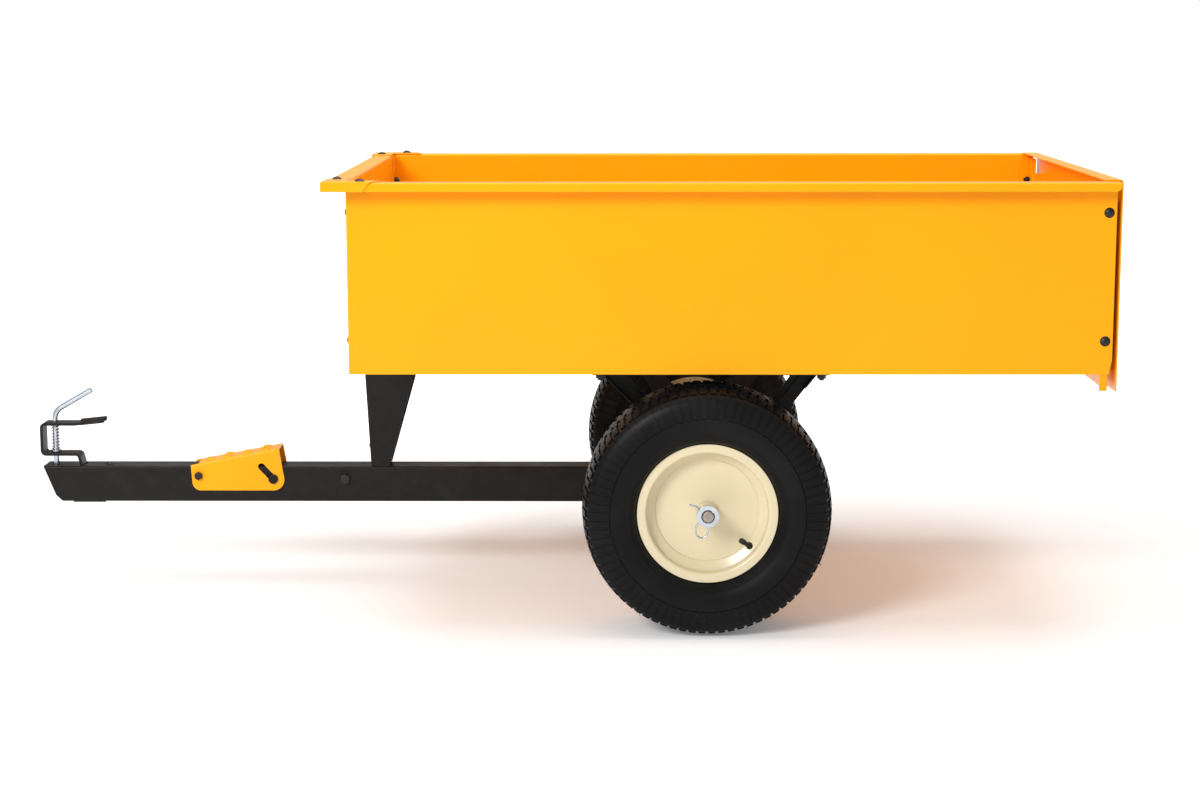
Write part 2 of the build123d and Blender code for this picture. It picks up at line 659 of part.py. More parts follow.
def hitch_pin():
    """Zinc round bar, bent over at the top for the fingers."""
    points = [
        (PIN_X, TONGUE_TOP - PIN_DEPTH),
        (PIN_X, PIN_BEND_Z),
        (PIN_X + PIN_ARM_REACH, PIN_BEND_Z + PIN_ARM_RISE),
    ]
    line = FilletPolyline(*points, radius=PIN_BEND_RADIUS)
    path = Plane((0, 0, 0), x_dir=(1, 0, 0), z_dir=PLANE_XZ_UP) * line
    section = Plane(origin=path @ 0, z_dir=path % 0) * Circle(PIN_DIAMETER / 2)
    bar = sweep(section, path=path)
    return chamfer(bar.faces().sort_by(Axis.Z)[0].edges(), 1.2)


def pin_ring(diameter, thickness, bottom):
    """A flat ring round the hitch pin."""
    ring = rod_z(PIN_X, 0, diameter / 2, bottom, bottom + thickness)
    return ring - rod_z(PIN_X, 0, PIN_DIAMETER / 2 + RUNNING_CLEARANCE, bottom - 1, bottom + 9)


def pin_stack():
    """Heights of the clip, the washer and the spring on the hitch pin."""
    clip = LOWER_ARM_Z + STRAP_THICKNESS / 2 + BOLT_CLEARANCE
    washer = clip + PIN_CLIP_THICKNESS
    spring = washer + PIN_WASHER_THICKNESS + BOLT_CLEARANCE
    return clip, washer, spring


def hitch_spring():
    """Coil spring that holds the pin down between the washer and the top arm."""
    bottom = pin_stack()[2]
    length = TOP_ARM_Z - STRAP_THICKNESS / 2 - BOLT_CLEARANCE - bottom
    return Pos(PIN_X, 0, bottom) * spring_coil(SPRING_DIAMETER, SPRING_WIRE, SPRING_TURNS, length)


# ---- foot pedal and latch ----
def pedal_frame():
    """Places a shape drawn level about the pedal's pivot at the pedal's resting slope."""
    return Pos(PEDAL_PIVOT_X, 0, PEDAL_PIVOT_Z) * Rot(0, -PEDAL_SLOPE, 0)


def foot_pedal():
    """Folded channel over the tongue, with a cam slot in each side and a gripping top."""
    inside = TONGUE_HALF + SLIDE_GAP
    middle = inside + PEDAL_SHEET / 2
    top = PEDAL_TOP_OFFSET - PEDAL_SHEET / 2
    folds = [(-middle, -90.0), (-middle, top), (middle, top), (middle, -90.0)]
    channel = folded_yz(folds, PEDAL_SHEET, PEDAL_BEND, -60, 220)
    channel = pedal_frame() * (channel + pedal_grips())
    lean = tan(radians(PEDAL_REAR_LEAN - PEDAL_SLOPE))
    slope = tan(radians(PEDAL_SLOPE))
    front = PEDAL_PIVOT_X - PEDAL_FRONT_REACH
    rear = PEDAL_PIVOT_X + PEDAL_REAR_REACH
    bottom = PEDAL_PIVOT_Z - PEDAL_DROP
    rear_drop = PEDAL_PIVOT_Z + PEDAL_TOP_OFFSET + PEDAL_REAR_REACH * slope - bottom
    outline = [
        (front, PEDAL_PIVOT_Z + 2 * PEDAL_TOP_OFFSET),
        (rear - 6, PEDAL_PIVOT_Z + 4 * PEDAL_TOP_OFFSET),
        (rear + rear_drop * (lean + slope * 0.72), bottom),
        (front + 5.0, bottom),
    ]
    face = make_face(Polyline(*outline, close=True))
    low = face.vertices().sort_by(Axis.Y)[:2].sort_by(Axis.X)
    face = fillet(low[0], PEDAL_FRONT_CORNER)
    face = fillet(face.vertices().sort_by(Axis.Y)[:3].sort_by(Axis.X)[-1], PEDAL_REAR_CORNER)
    side = Plane((0, 60, 0), x_dir=(1, 0, 0), z_dir=PLANE_XZ_UP)
    pedal = channel & extrude(side * face, 120)
    pedal -= block(front - 20, PEDAL_PIVOT_X - 0.7, -inside, inside, TONGUE_BOTTOM, TONGUE_TOP + 40)
    pedal -= rod_y(PEDAL_PIVOT_X, PEDAL_PIVOT_Z, PIVOT_BOLT_DIAMETER / 2 + RUNNING_CLEARANCE, -60, 60)
    slot = CAM_SLOT_WIDTH / 2
    ends = [(CAM_PIN_X, LATCH_Z), (CAM_PIN_X - CAM_SLOT_RUN, LATCH_Z + CAM_SLOT_RISE)]
    for x, z in ends:
        pedal -= rod_y(x, z, slot, -60, 60)
    angle = degrees(atan2(CAM_SLOT_RISE, CAM_SLOT_RUN))
    span = sqrt(CAM_SLOT_RUN**2 + CAM_SLOT_RISE**2)
    middle_x = CAM_PIN_X - CAM_SLOT_RUN / 2
    middle_z = LATCH_Z + CAM_SLOT_RISE / 2
    return pedal - Pos(middle_x, 0, middle_z) * Rot(0, angle, 0) * Box(span, 120, 2 * slot)


def grip_spots():
    """Places of the gripping dimples on the pedal's top, one and two in turn."""
    spots = []
    for row in range(GRIP_ROWS):
        x = GRIP_START + row * GRIP_PITCH
        sides = (0,) if row % 2 == 0 else (-0.5, 0.5)
        spots += [(x, side * GRIP_SPREAD) for side in sides]
    return spots


def pedal_grips():
    """Raised dimples with a hole in each, drawn level about the pedal's pivot."""
    grips = []
    for x, y in grip_spots():
        cone = Cone(GRIP_BASE / 2, GRIP_HOLE / 2 + 1.2, GRIP_HEIGHT)
        grips.append(Pos(x, y, PEDAL_TOP_OFFSET + GRIP_HEIGHT / 2 - 0.2) * cone)
    return Part() + grips


def pierced(pedal):
    """Opens the hole in each gripping dimple."""
    for x, y in grip_spots():
        hollow = Cone(GRIP_BASE / 2 - 2.2, GRIP_HOLE / 2, GRIP_HEIGHT)
        lower = PEDAL_TOP_OFFSET + GRIP_HEIGHT / 2 - PEDAL_SHEET
        through = Pos(x, y, PEDAL_TOP_OFFSET) * Cylinder(GRIP_HOLE / 2, 30)
        pedal -= pedal_frame() * (Pos(x, y, lower) * hollow + through)
    return pedal


def cam_pin():
    """Headed cross pin that the pedal's slots push along the tongue."""
    face = TONGUE_HALF + SLIDE_GAP + PEDAL_SHEET + SLIDE_GAP
    pin = rod_y(CAM_PIN_X, LATCH_Z, CAM_PIN_DIAMETER / 2, -face, face)
    for side in (-1, 1):
        tip = side * (face + CAM_PIN_HEAD_THICKNESS)
        pin += rod_y(CAM_PIN_X, LATCH_Z, CAM_PIN_HEAD / 2, side * face, tip)
    outer = pin.edges().filter_by(GeomType.CIRCLE).group_by(Axis.Y)
    return chamfer(outer[0] + outer[-1], 0.8)


def latch_bar():
    """Flat bar inside the tongue: an eye on the cam pin, a guide slot and a nose for the catch."""
    half = LATCH_BAR_THICKNESS / 2
    front = CAM_PIN_X - CAM_PIN_DIAMETER
    nose = CATCH_X + CATCH_SHEET + LATCH_NOSE_PAST_PLATE
    body_end = nose - LATCH_NOSE_LENGTH
    low = LATCH_Z - LATCH_BAR_HEIGHT / 2
    bar = block(front, body_end, -half, half, low, low + LATCH_BAR_HEIGHT)
    tip = LATCH_NOSE_HEIGHT / 2
    wedge = [
        (body_end - 1, LATCH_Z - tip),
        (nose - 8, LATCH_Z - tip),
        (nose, LATCH_Z),
        (nose, LATCH_Z + tip),
        (body_end - 1, LATCH_Z + tip),
    ]
    bar += plate_xz(wedge, -half, half)
    bar -= rod_y(CAM_PIN_X, LATCH_Z, CAM_PIN_DIAMETER / 2 + RUNNING_CLEARANCE, -20, 20)
    slot = GUIDE_BOLT_DIAMETER / 2 + BOLT_CLEARANCE
    ends = (GUIDE_BOLT_X - 1.0, GUIDE_BOLT_X + LATCH_TRAVEL + 1.0)
    for x in ends:
        bar -= rod_y(x, LATCH_Z, slot, -20, 20)
    return bar - block(ends[0], ends[1], -20, 20, LATCH_Z - slot, LATCH_Z + slot)


def latch_spring():
    """Spring that pushes the latch bar rearwards into the catch."""
    front = CAM_PIN_X - CAM_PIN_DIAMETER - BOLT_CLEARANCE
    size = (LATCH_SPRING_DIAMETER, LATCH_SPRING_WIRE, LATCH_SPRING_TURNS, LATCH_SPRING_LENGTH)
    return facing(spring_coil(*size), (front, 0, LATCH_Z), (-1, 0, 0))


def spring_seat():
    """Plate welded across the inside of the tongue behind the pedal pivot."""
    x1 = CAM_PIN_X - CAM_PIN_DIAMETER - LATCH_SPRING_LENGTH - 2 * BOLT_CLEARANCE
    half = TONGUE_HALF - TONGUE_WALL
    top = TONGUE_TOP - TONGUE_WALL
    return block(x1 - SPRING_SEAT_SHEET, x1, -half, half, top - 40, top)


def through_bolt(x, z, bolt, flats, head, face):
    """A hexagon bolt across the tongue with its nut on the far side."""
    screw = hex_bolt(bolt, flats, head, bolt_length(2 * face))
    nut = Pos(0, 0, -2 * face) * hex_nut(bolt, flats, NUT_HEIGHT)
    return [facing(piece, (x, -face, z), (0, -1, 0)) for piece in (screw, nut)]


# ---- bed panels ----
def side_panel():
    """Left side: one folded sheet with an outward rim and a tab behind the front panel."""
    wall = -BED_HALF + SHEET / 2
    edge = wall - RIM_FLANGE + SHEET / 2
    top = RIM_Z - SHEET / 2
    folds = [(wall, BED_UNDERSIDE), (wall, top), (edge, top), (edge, RIM_Z - RIM_LIP)]
    x0 = FRONT_X + SHEET
    panel = folded_yz(folds, SHEET, BEND, x0, BED_SIDE_REAR)
    inner = -BED_HALF + SHEET
    tab_bottom = FLOOR_TOP + FLOOR_UPTURN + 5
    panel += block(x0, x0 + SHEET, inner - 1, inner + FRONT_TAB, tab_bottom, RIM_Z - 5)
    relief_x, relief_z = SIDE_CORNER_RELIEF
    corner = [
        (BED_SIDE_REAR + 1, BED_UNDERSIDE - 1),
        (BED_SIDE_REAR - relief_x, BED_UNDERSIDE - 1),
        (BED_SIDE_REAR - relief_x, BED_UNDERSIDE),
        (BED_SIDE_REAR, BED_UNDERSIDE + relief_z),
        (BED_SIDE_REAR + 1, BED_UNDERSIDE + relief_z),
    ]
    panel -= plate_xz(corner, -BED_HALF - 1, inner + 1)
    lip_y = -BED_HALF - RIM_FLANGE
    lip_z = RIM_Z - RIM_LIP
    round_x, round_z = BED_SIDE_REAR - LIP_CORNER, lip_z + LIP_CORNER
    square = block(round_x, BED_SIDE_REAR + 1, lip_y - 1, lip_y + 5, lip_z - 1, round_z)
    round_off = rod_y(round_x, round_z, LIP_CORNER, lip_y - 2, lip_y + 6)
    panel -= square - round_off
    for spot in front_bolt_spots() + post_bolt_spots():
        direction = (-1, 0, 0) if spot[0] < 0 else (0, 1, 0)
        panel -= bolt_hole(spot, direction, 8)
    return panel - bolt_hole(side_cap_bolt(), (0, 0, 1), 8)


def front_bolt_spots():
    """Places of the left pair of bolts through the front panel."""
    y = -BED_HALF + PANEL_BOLT_INSET
    return [(FRONT_X, y, BED_UNDERSIDE + height) for height in (PANEL_BOLT_LOW, PANEL_BOLT_HIGH)]


def post_bolt_spots():
    """Places of the left pair of bolts through the side panel into the corner post."""
    heights = (PANEL_BOLT_LOW, PANEL_BOLT_HIGH)
    return [(POST_BOLT_X, -BED_HALF, BED_UNDERSIDE + height) for height in heights]


def side_cap_bolt():
    """Bolt through the left corner cap and the side rim."""
    return (FRONT_X + CAP_BOLT_SETBACK, -BED_HALF - RIM_FLANGE / 2, RIM_Z + SHEET)


def front_cap_bolt():
    """Bolt through the left corner cap and the front rim."""
    return (FRONT_X - RIM_FLANGE / 2, -BED_HALF + CAP_BOLT_SETBACK + 10, RIM_Z + SHEET)


def front_panel():
    """Front wall: one folded sheet with a rim towards the tractor."""
    wall = FRONT_X + SHEET / 2
    edge = wall - RIM_FLANGE + SHEET / 2
    top = RIM_Z - SHEET / 2
    folds = [(wall, BED_UNDERSIDE), (wall, top), (edge, top), (edge, RIM_Z - RIM_LIP)]
    panel = folded_xz(folds, SHEET, BEND, -BED_HALF, BED_HALF)
    for spot in front_bolt_spots():
        for side in (1, -1):
            panel -= bolt_hole((spot[0], side * spot[1], spot[2]), (-1, 0, 0), 8)
    x, y, z = front_cap_bolt()
    for side in (1, -1):
        panel -= bolt_hole((x, side * y, z), (0, 0, 1), 8)
    return panel


def floor_panel():
    """Floor tray with upturned edges at the sides and front and a deep lip at the rear."""
    edge = BED_HALF - SHEET - SHEET / 2 - 0.2
    level = BED_UNDERSIDE + SHEET / 2
    top = level + FLOOR_UPTURN
    front = FRONT_X + SHEET + SHEET / 2 + 0.2
    sides = [(-edge, top), (-edge, level), (edge, level), (edge, top)]
    tray = folded_yz(sides, SHEET, BEND, front + BEND, FLOOR_REAR_X - BEND)
    inset = edge - 34
    tray += folded_xz([(front + 60, level), (front, level), (front, top)], SHEET, BEND, -inset, inset)
    rear = FLOOR_REAR_X - SHEET / 2
    lip_z = BED_UNDERSIDE - REAR_LIP_DROP
    tray += folded_xz([(rear - 60, level), (rear, level), (rear, lip_z)], SHEET, BEND, -edge, edge)
    for side in (1, -1):
        outer = side * (edge + SHEET / 2)
        inner = outer - side * SHEET
        tray += block(FLOOR_REAR_X - REAR_LIP_END, FLOOR_REAR_X - 1, inner, outer, lip_z, level)
    for x, y in floor_bolt_spots():
        tray -= bolt_hole((x, y, level), (0, 0, 1), 8)
    return tray


def bracket_bolt_spots():
    """Places of the axle bracket bolts on the floor."""
    return [(x, side * BRACKET_BOLT_Y) for x in BRACKET_BOLT_X for side in (-1, 1)]


def stand_bolt_spots():
    """Places of the latch stand bolts on the floor."""
    return [(x, side * STAND_BOLT_Y) for x in STAND_BOLT_X for side in (-1, 1)]


def floor_bolt_spots():
    """All the places where the floor is drilled."""
    return bracket_bolt_spots() + stand_bolt_spots()


def corner_cap():
    """Folded cap over the left front corner of the rim."""
    out_x = FRONT_X - RIM_FLANGE - SHEET + SHEET / 2
    out_y = -BED_HALF - RIM_FLANGE - SHEET + SHEET / 2
    side_end = FRONT_X + CAP_REACH
    front_end = -BED_HALF + CAP_REACH
    in_x = FRONT_X + SHEET
    in_y = -BED_HALF + SHEET
    low = RIM_Z - RIM_LIP
    top = RIM_Z + SHEET
    outline = [
        (out_x, out_y),
        (side_end, out_y),
        (side_end + CAP_SLANT, in_y),
        (in_x, in_y),
        (in_x, front_end + CAP_SLANT),
        (out_x, front_end),
    ]
    cap = plate_xy(outline, RIM_Z, top)
    skirt_side = [(out_x, top), (side_end, top), (side_end - CAP_SLANT, low), (out_x, low)]
    cap += plate_xz(skirt_side, out_y, out_y + SHEET)
    skirt_front = [(out_y, top), (front_end, top), (front_end - CAP_SLANT, low), (out_y, low)]
    across = Plane((out_x, 0, 0), x_dir=(0, 1, 0), z_dir=(1, 0, 0))
    cap += extrude(across * make_face(Polyline(*skirt_front, close=True)), SHEET)
    outside = cap.edges().filter_by(Axis.X, tolerance=0.01).group_by(Axis.Z)[-1].sort_by(Axis.Y)[0]
    cap = fillet(outside, SHEET * 0.8)
    outside = cap.edges().filter_by(Axis.Y, tolerance=0.01).group_by(Axis.Z)[-1].sort_by(Axis.X)[0]
    cap = fillet(outside, SHEET * 0.8)
    return cap - bolt_hole(side_cap_bolt(), (0, 0, 1), 8) - bolt_hole(front_cap_bolt(), (0, 0, 1), 8)


def corner_post():
    """Left rear post: an angle inside the bed whose return holds the tailgate's hook."""
    web = -BED_HALF + SHEET + POST_SHEET / 2
    rear = BED_SIDE_REAR - POST_SHEET / 2
    folds = [(rear - POST_DEPTH, web), (rear, web), (rear, web + POST_RETURN)]
    bottom = FLOOR_TOP + FLOOR_UPTURN
    post = folded_xy(folds, POST_SHEET, BEND, bottom, RIM_Z - POST_TOP_GAP)
    for spot in post_bolt_spots():
        post -= bolt_hole(spot, (0, 1, 0), 10)
    return post


def tailgate():
    """Rear wall: one sheet with a stiffening flange folded inwards over the rim."""
    rear = TAILGATE_REAR - SHEET / 2
    top = RIM_Z + SLIDE_GAP + SHEET / 2
    folds = [(rear, TAILGATE_BOTTOM), (rear, top), (rear - TAILGATE_FLANGE + SHEET / 2, top)]
    return folded_xz(folds, SHEET, BEND, -BED_HALF, BED_HALF)


def tailgate_hook():
    """Left guide angle on the tailgate's inside; it slides up and down in front of the post's return."""
    root = TAILGATE_REAR - SHEET
    y = -BED_HALF + HOOK_OFFSET
    front = root - HOOK_DEPTH - POST_SHEET / 2
    folds = [(root, y), (front, y), (front, y - HOOK_REACH)]
    return folded_xy(folds, POST_SHEET, BEND, FLOOR_TOP + SLIDE_GAP, RIM_Z - HOOK_TOP_GAP)


# ---- axle bracket ----
def towards(start, end, distance):
    """The point a given distance from start on the way to end."""
    dx, dz = end[0] - start[0], end[1] - start[1]
    length = sqrt(dx * dx + dz * dz)
    return (start[0] + dx * distance / length, start[1] + dz * distance / length)


def bracket_edges():
    """Outer (x, z) corners of the front and rear arms, from the top plate down to the boss."""
    top = BED_UNDERSIDE - BRACKET_SHEET
    arms = []
    for corner_x, waist_x, drop, boss_x in (
        (BRACKET_FRONT_X, BRACKET_WAIST[0], BRACKET_WAIST_BELOW[0], -BRACKET_HUB_RADIUS),
        (BRACKET_REAR_X, BRACKET_WAIST[1], BRACKET_WAIST_BELOW[1], BRACKET_HUB_RADIUS),
    ):
        arms.append([(corner_x, top), (waist_x, top - drop), (boss_x, AXLE_Z)])
    return arms


def axle_bracket():
    """Left V bracket: a top plate under the floor, a V web, and a boss round the axle."""
    top = BED_UNDERSIDE
    web_out = -BRACKET_Y - BRACKET_SHEET / 2
    web_in = web_out + BRACKET_SHEET
    plate_out = web_in - BRACKET_TOP_WIDTH
    bracket = block(BRACKET_FRONT_X, BRACKET_REAR_X, plate_out, web_in, top - BRACKET_SHEET, top)
    front, rear = bracket_edges()
    bracket += plate_xz(front + rear[::-1], web_out, web_in)
    bracket += rod_y(0, AXLE_Z, BRACKET_HUB_RADIUS, web_out, web_in)
    window_top = top - BRACKET_SHEET - BRACKET_WINDOW_SILL
    window_low = AXLE_Z + BRACKET_HUB_RADIUS + BRACKET_ARM * 0.9
    arm = BRACKET_ARM
    window = [
        (front[0][0] + arm * 1.5, window_top),
        (front[1][0] + arm, front[1][1]),
        (-BRACKET_SHEET, window_low),
        (BRACKET_SHEET, window_low),
        (rear[1][0] - arm * 1.1, rear[1][1]),
        (rear[0][0] - arm * 1.5, window_top),
    ]
    bracket -= plate_xz(window, web_out - 1, web_in + 1)
    bracket += arm_flange(front, web_out) + arm_flange(rear, web_out)
    bracket += arm_rib(front, web_out) + arm_rib(rear, web_out)
    bracket += rod_y(0, AXLE_Z, BOSS_DIAMETER / 2, -boss_inner_y(), -boss_outer_y())
    bracket -= rod_y(0, AXLE_Z, BOSS_BORE / 2, -boss_inner_y() + 1, -boss_outer_y() - 1)
    for x in BRACKET_BOLT_X:
        bracket -= bolt_hole((x, -BRACKET_BOLT_Y, top), (0, 0, 1), 8)
    return bracket


def arm_flange(edge, web_out):
    """Narrow stiffening flange turned along the outer edge of an arm."""
    side = 1 if edge[0][0] < 0 else -1
    inner = [(x + side * BRACKET_SHEET * 1.3, z) for x, z in edge[:2]]
    return plate_xz(edge[:2] + inner[::-1], web_out - BRACKET_FLANGE, web_out + WELD_IN)


def arm_rib(edge, web_out):
    """Raised bead pressed along the middle of an arm."""
    width, height = BRACKET_RIB
    side = 1 if edge[0][0] < 0 else -1
    shift = side * BRACKET_ARM * 0.62
    waist = (edge[1][0] + shift, edge[1][1])
    start = (waist[0] - side * BRACKET_ARM / 2, waist[1] + BRACKET_ARM * 0.72)
    finish = towards(waist, (0, AXLE_Z), BRACKET_ARM * 1.7)
    half = width / 2
    top = [(start[0] - half, start[1]), (start[0] + half, start[1])]
    foot = [(finish[0] + half, finish[1]), (finish[0] - half, finish[1])]
    return plate_xz(top + foot, web_out - height, web_out + WELD_IN)


def bracket_bushes():
    """Flanged bushes in both ends of the left bracket's boss, on which the bed tips."""
    bushes = []
    for face, outward in ((-boss_inner_y(), 1), (-boss_outer_y(), -1)):
        flange = rod_y(0, AXLE_Z, BUSH_FLANGE_DIAMETER / 2, face, face + outward * BUSH_FLANGE)
        barrel = rod_y(0, AXLE_Z, BOSS_BORE / 2, face, face - outward * (BOSS_IN + BOSS_OUT) * 0.45)
        bore = rod_y(0, AXLE_Z, AXLE_RADIUS + RUNNING_CLEARANCE, face - outward * 30, face + outward * 9)
        bushes.append(flange + barrel - bore)
    return bushes


# ---- latch stand ----
def tapered(*levels):
    """A block between level rectangles, each given as (front x, rear x, half width, height)."""
    sections = []
    for x0, x1, half, z in levels:
        corners = [(x0, -half, z), (x1, -half, z), (x1, half, z), (x0, half, z)]
        sections.append(make_face(Polyline(*corners, close=True)))
    return loft(sections, ruled=True)


def latch_stand():
    """Tapered channel under the front of the bed that stands on the tongue."""
    bottom = TONGUE_TOP + SLIDE_GAP
    top = BED_UNDERSIDE
    half_bottom = STAND_BOTTOM_WIDTH / 2
    half_top = STAND_TOP_WIDTH / 2
    foot = (STAND_FRONT_BOTTOM, STAND_REAR_BOTTOM, half_bottom, bottom)
    head = (STAND_FRONT_TOP, STAND_REAR_TOP, half_top, top)
    sheet = STAND_SHEET
    cores = [(x0 + sheet, x1 + STAND_EAR, half - sheet, z) for x0, x1, half, z in (foot, head)]
    stand = tapered(foot, head) - tapered(*cores)
    ear_front = STAND_BOLT_X[0] - STAND_EAR_END
    ear_rear = STAND_BOLT_X[1] + STAND_EAR_END
    for side in (1, -1):
        root, tip = side * (half_top - sheet), side * (half_top + STAND_EAR)
        stand += block(ear_front, ear_rear, root, tip, top - sheet, top)
    for x, y in stand_bolt_spots():
        stand -= bolt_hole((x, y, top), (0, 0, 1), 8)
    return stand - bolt_hole(catch_bolt_spot(), (-1, 0, 0), 12)


def catch_bolt_spot():
    """Place of the bolt that holds the catch plate to the front of the stand."""
    height = CATCH_BOLT_ABOVE_TONGUE_TOP
    lean = (STAND_FRONT_TOP - STAND_FRONT_BOTTOM) / (BED_UNDERSIDE - TONGUE_TOP)
    return (STAND_FRONT_BOTTOM + lean * height - SLIDE_GAP, 0, TONGUE_TOP + height)


def catch_plate():
    """Strip behind the stand's web, with a window below the tongue's top for the latch nose."""
    half = CATCH_WIDTH / 2
    low = TONGUE_TOP - CATCH_BELOW_TONGUE_TOP
    plate = block(CATCH_X, CATCH_X + CATCH_SHEET, -half, half, low, TONGUE_TOP + CATCH_ABOVE_TONGUE_TOP)
    wide = LATCH_BAR_THICKNESS / 2 + CATCH_PLAY
    tall = LATCH_NOSE_HEIGHT / 2 + CATCH_PLAY
    plate -= block(CATCH_X - 5, CATCH_X + 9, -wide, wide, LATCH_Z - tall, LATCH_Z + tall)
    return plate - bolt_hole(catch_bolt_spot(), (-1, 0, 0), 20)


# ---- all the pieces, by node name ----
def all_nodes():
    """Every node of the cart with its solids."""
    nodes = {}
    for name, make in (("tyre", tyre), ("rim", rim), ("hub_tube", hub_tube), ("valve_stem", valve_stem)):
        left = make()
        nodes[name + "_left"] = [left]
        nodes[name + "_right"] = [other_side(left)]
    left_bushes = hub_bushes()
    nodes["hub_bushes_left"] = left_bushes
    nodes["hub_bushes_right"] = [other_side(bush) for bush in left_bushes]

    nodes["axle"] = [axle()]
    nodes["axle_clips"] = both_sides(axle_clip())
    nodes["end_washers"] = both_sides(end_washer())
    nodes["axle_spacers"] = both_sides(axle_spacer())
    nodes["hub_spacers"] = both_sides(hub_spacer())
    nodes["tongue_tube"] = [tongue_tube()]
    nodes["pivot_sleeve"] = [pivot_sleeve()]
    nodes["pivot_gussets"] = both_sides(pivot_gusset())
    nodes["wear_plate"] = [wear_plate()]

    nodes["hitch_strap"] = [hitch_strap()]
    strap_grip = TONGUE_WALL + STRAP_THICKNESS
    strap_spots = [(STRAP_BOLT_X, 0, TONGUE_TOP)]
    strap_fixings = bolts_and_nuts(strap_spots, (0, 0, 1), strap_grip)
    nodes["strap_bolt"], nodes["strap_nut"] = strap_fixings
    clip, washer, _ = pin_stack()
    nodes["hitch_pin"] = [hitch_pin()]
    nodes["pin_clip"] = [pin_ring(PIN_CLIP_DIAMETER, PIN_CLIP_THICKNESS, clip)]
    nodes["pin_washer"] = [pin_ring(PIN_WASHER_DIAMETER, PIN_WASHER_THICKNESS, washer)]
    nodes["hitch_spring"] = [hitch_spring()]

    nodes["foot_pedal"] = [pierced(foot_pedal())]
    nodes["cam_pin"] = [cam_pin()]
    nodes["latch_bar"] = [latch_bar()]
    nodes["latch_spring"] = [latch_spring()]
    nodes["spring_seat"] = [spring_seat()]
    pedal_face = TONGUE_HALF + SLIDE_GAP + PEDAL_SHEET + BOLT_CLEARANCE
    pivot = through_bolt(PEDAL_PIVOT_X, PEDAL_PIVOT_Z, *PIVOT_BOLT, pedal_face)
    guide = through_bolt(GUIDE_BOLT_X, LATCH_Z, *GUIDE_BOLT, TONGUE_HALF)
    nodes["pedal_bolt"], nodes["pedal_nut"] = [pivot[0]], [pivot[1]]
    nodes["guide_bolt"], nodes["guide_nut"] = [guide[0]], [guide[1]]

    left_side = side_panel()
    nodes["side_panel_left"] = [left_side]
    nodes["side_panel_right"] = [other_side(left_side)]
    nodes["front_panel"] = [front_panel()]
    nodes["floor_panel"] = [floor_panel()]
    cap = corner_cap()
    nodes["corner_cap_left"] = [cap]
    nodes["corner_cap_right"] = [other_side(cap)]
    post = corner_post()
    nodes["corner_post_left"] = [post]
    nodes["corner_post_right"] = [other_side(post)]
    bracket = axle_bracket()
    nodes["axle_bracket_left"] = [bracket]
    nodes["axle_bracket_right"] = [other_side(bracket)]
    left_bearings = bracket_bushes()
    nodes["bracket_bushes"] = left_bearings + [other_side(bush) for bush in left_bearings]
    nodes["latch_stand"] = [latch_stand()]
    nodes["catch_plate"] = [catch_plate()]

    front = bolts_and_nuts(front_bolt_spots(), (-1, 0, 0), 2 * SHEET)
    posts = bolts_and_nuts(post_bolt_spots(), (0, -1, 0), SHEET + POST_SHEET)
    caps = bolts_and_nuts([side_cap_bolt(), front_cap_bolt()], (0, 0, 1), 2 * SHEET)
    for name, (bolts, nuts) in (("front_panel", front), ("corner_post", posts), ("corner_cap", caps)):
        nodes[name + "_bolts"] = bolts + [other_side(bolt) for bolt in bolts]
        nodes[name + "_nuts"] = nuts + [other_side(nut) for nut in nuts]
    floor_spots = [(x, y, FLOOR_TOP) for x, y in floor_bolt_spots()]
    grip = SHEET + STAND_SHEET
    nodes["floor_bolts"], nodes["floor_nuts"] = bolts_and_nuts(floor_spots, (0, 0, 1), grip)
    catch_grip = CATCH_X + CATCH_SHEET - catch_bolt_spot()[0]
    catch_fixings = bolts_and_nuts([catch_bolt_spot()], (-1, 0, 0), catch_grip)
    nodes["catch_bolt"], nodes["catch_nut"] = catch_fixings

    nodes["tailgate"] = [tailgate()]
    nodes["tailgate_hooks"] = both_sides(tailgate_hook())
    return nodes


def main():
    """Writes one STEP file for each node."""
    os.makedirs("parts", exist_ok=True)
    for name, pieces in all_nodes().items():
        solids = [solid for piece in pieces for solid in (Pos(-CENTRE_X, 0, 0) * piece).solids()]
        export_step(solids[0] if len(solids) == 1 else Compound(children=solids), f"parts/{name}.step")


main()
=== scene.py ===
import json
import math
import random

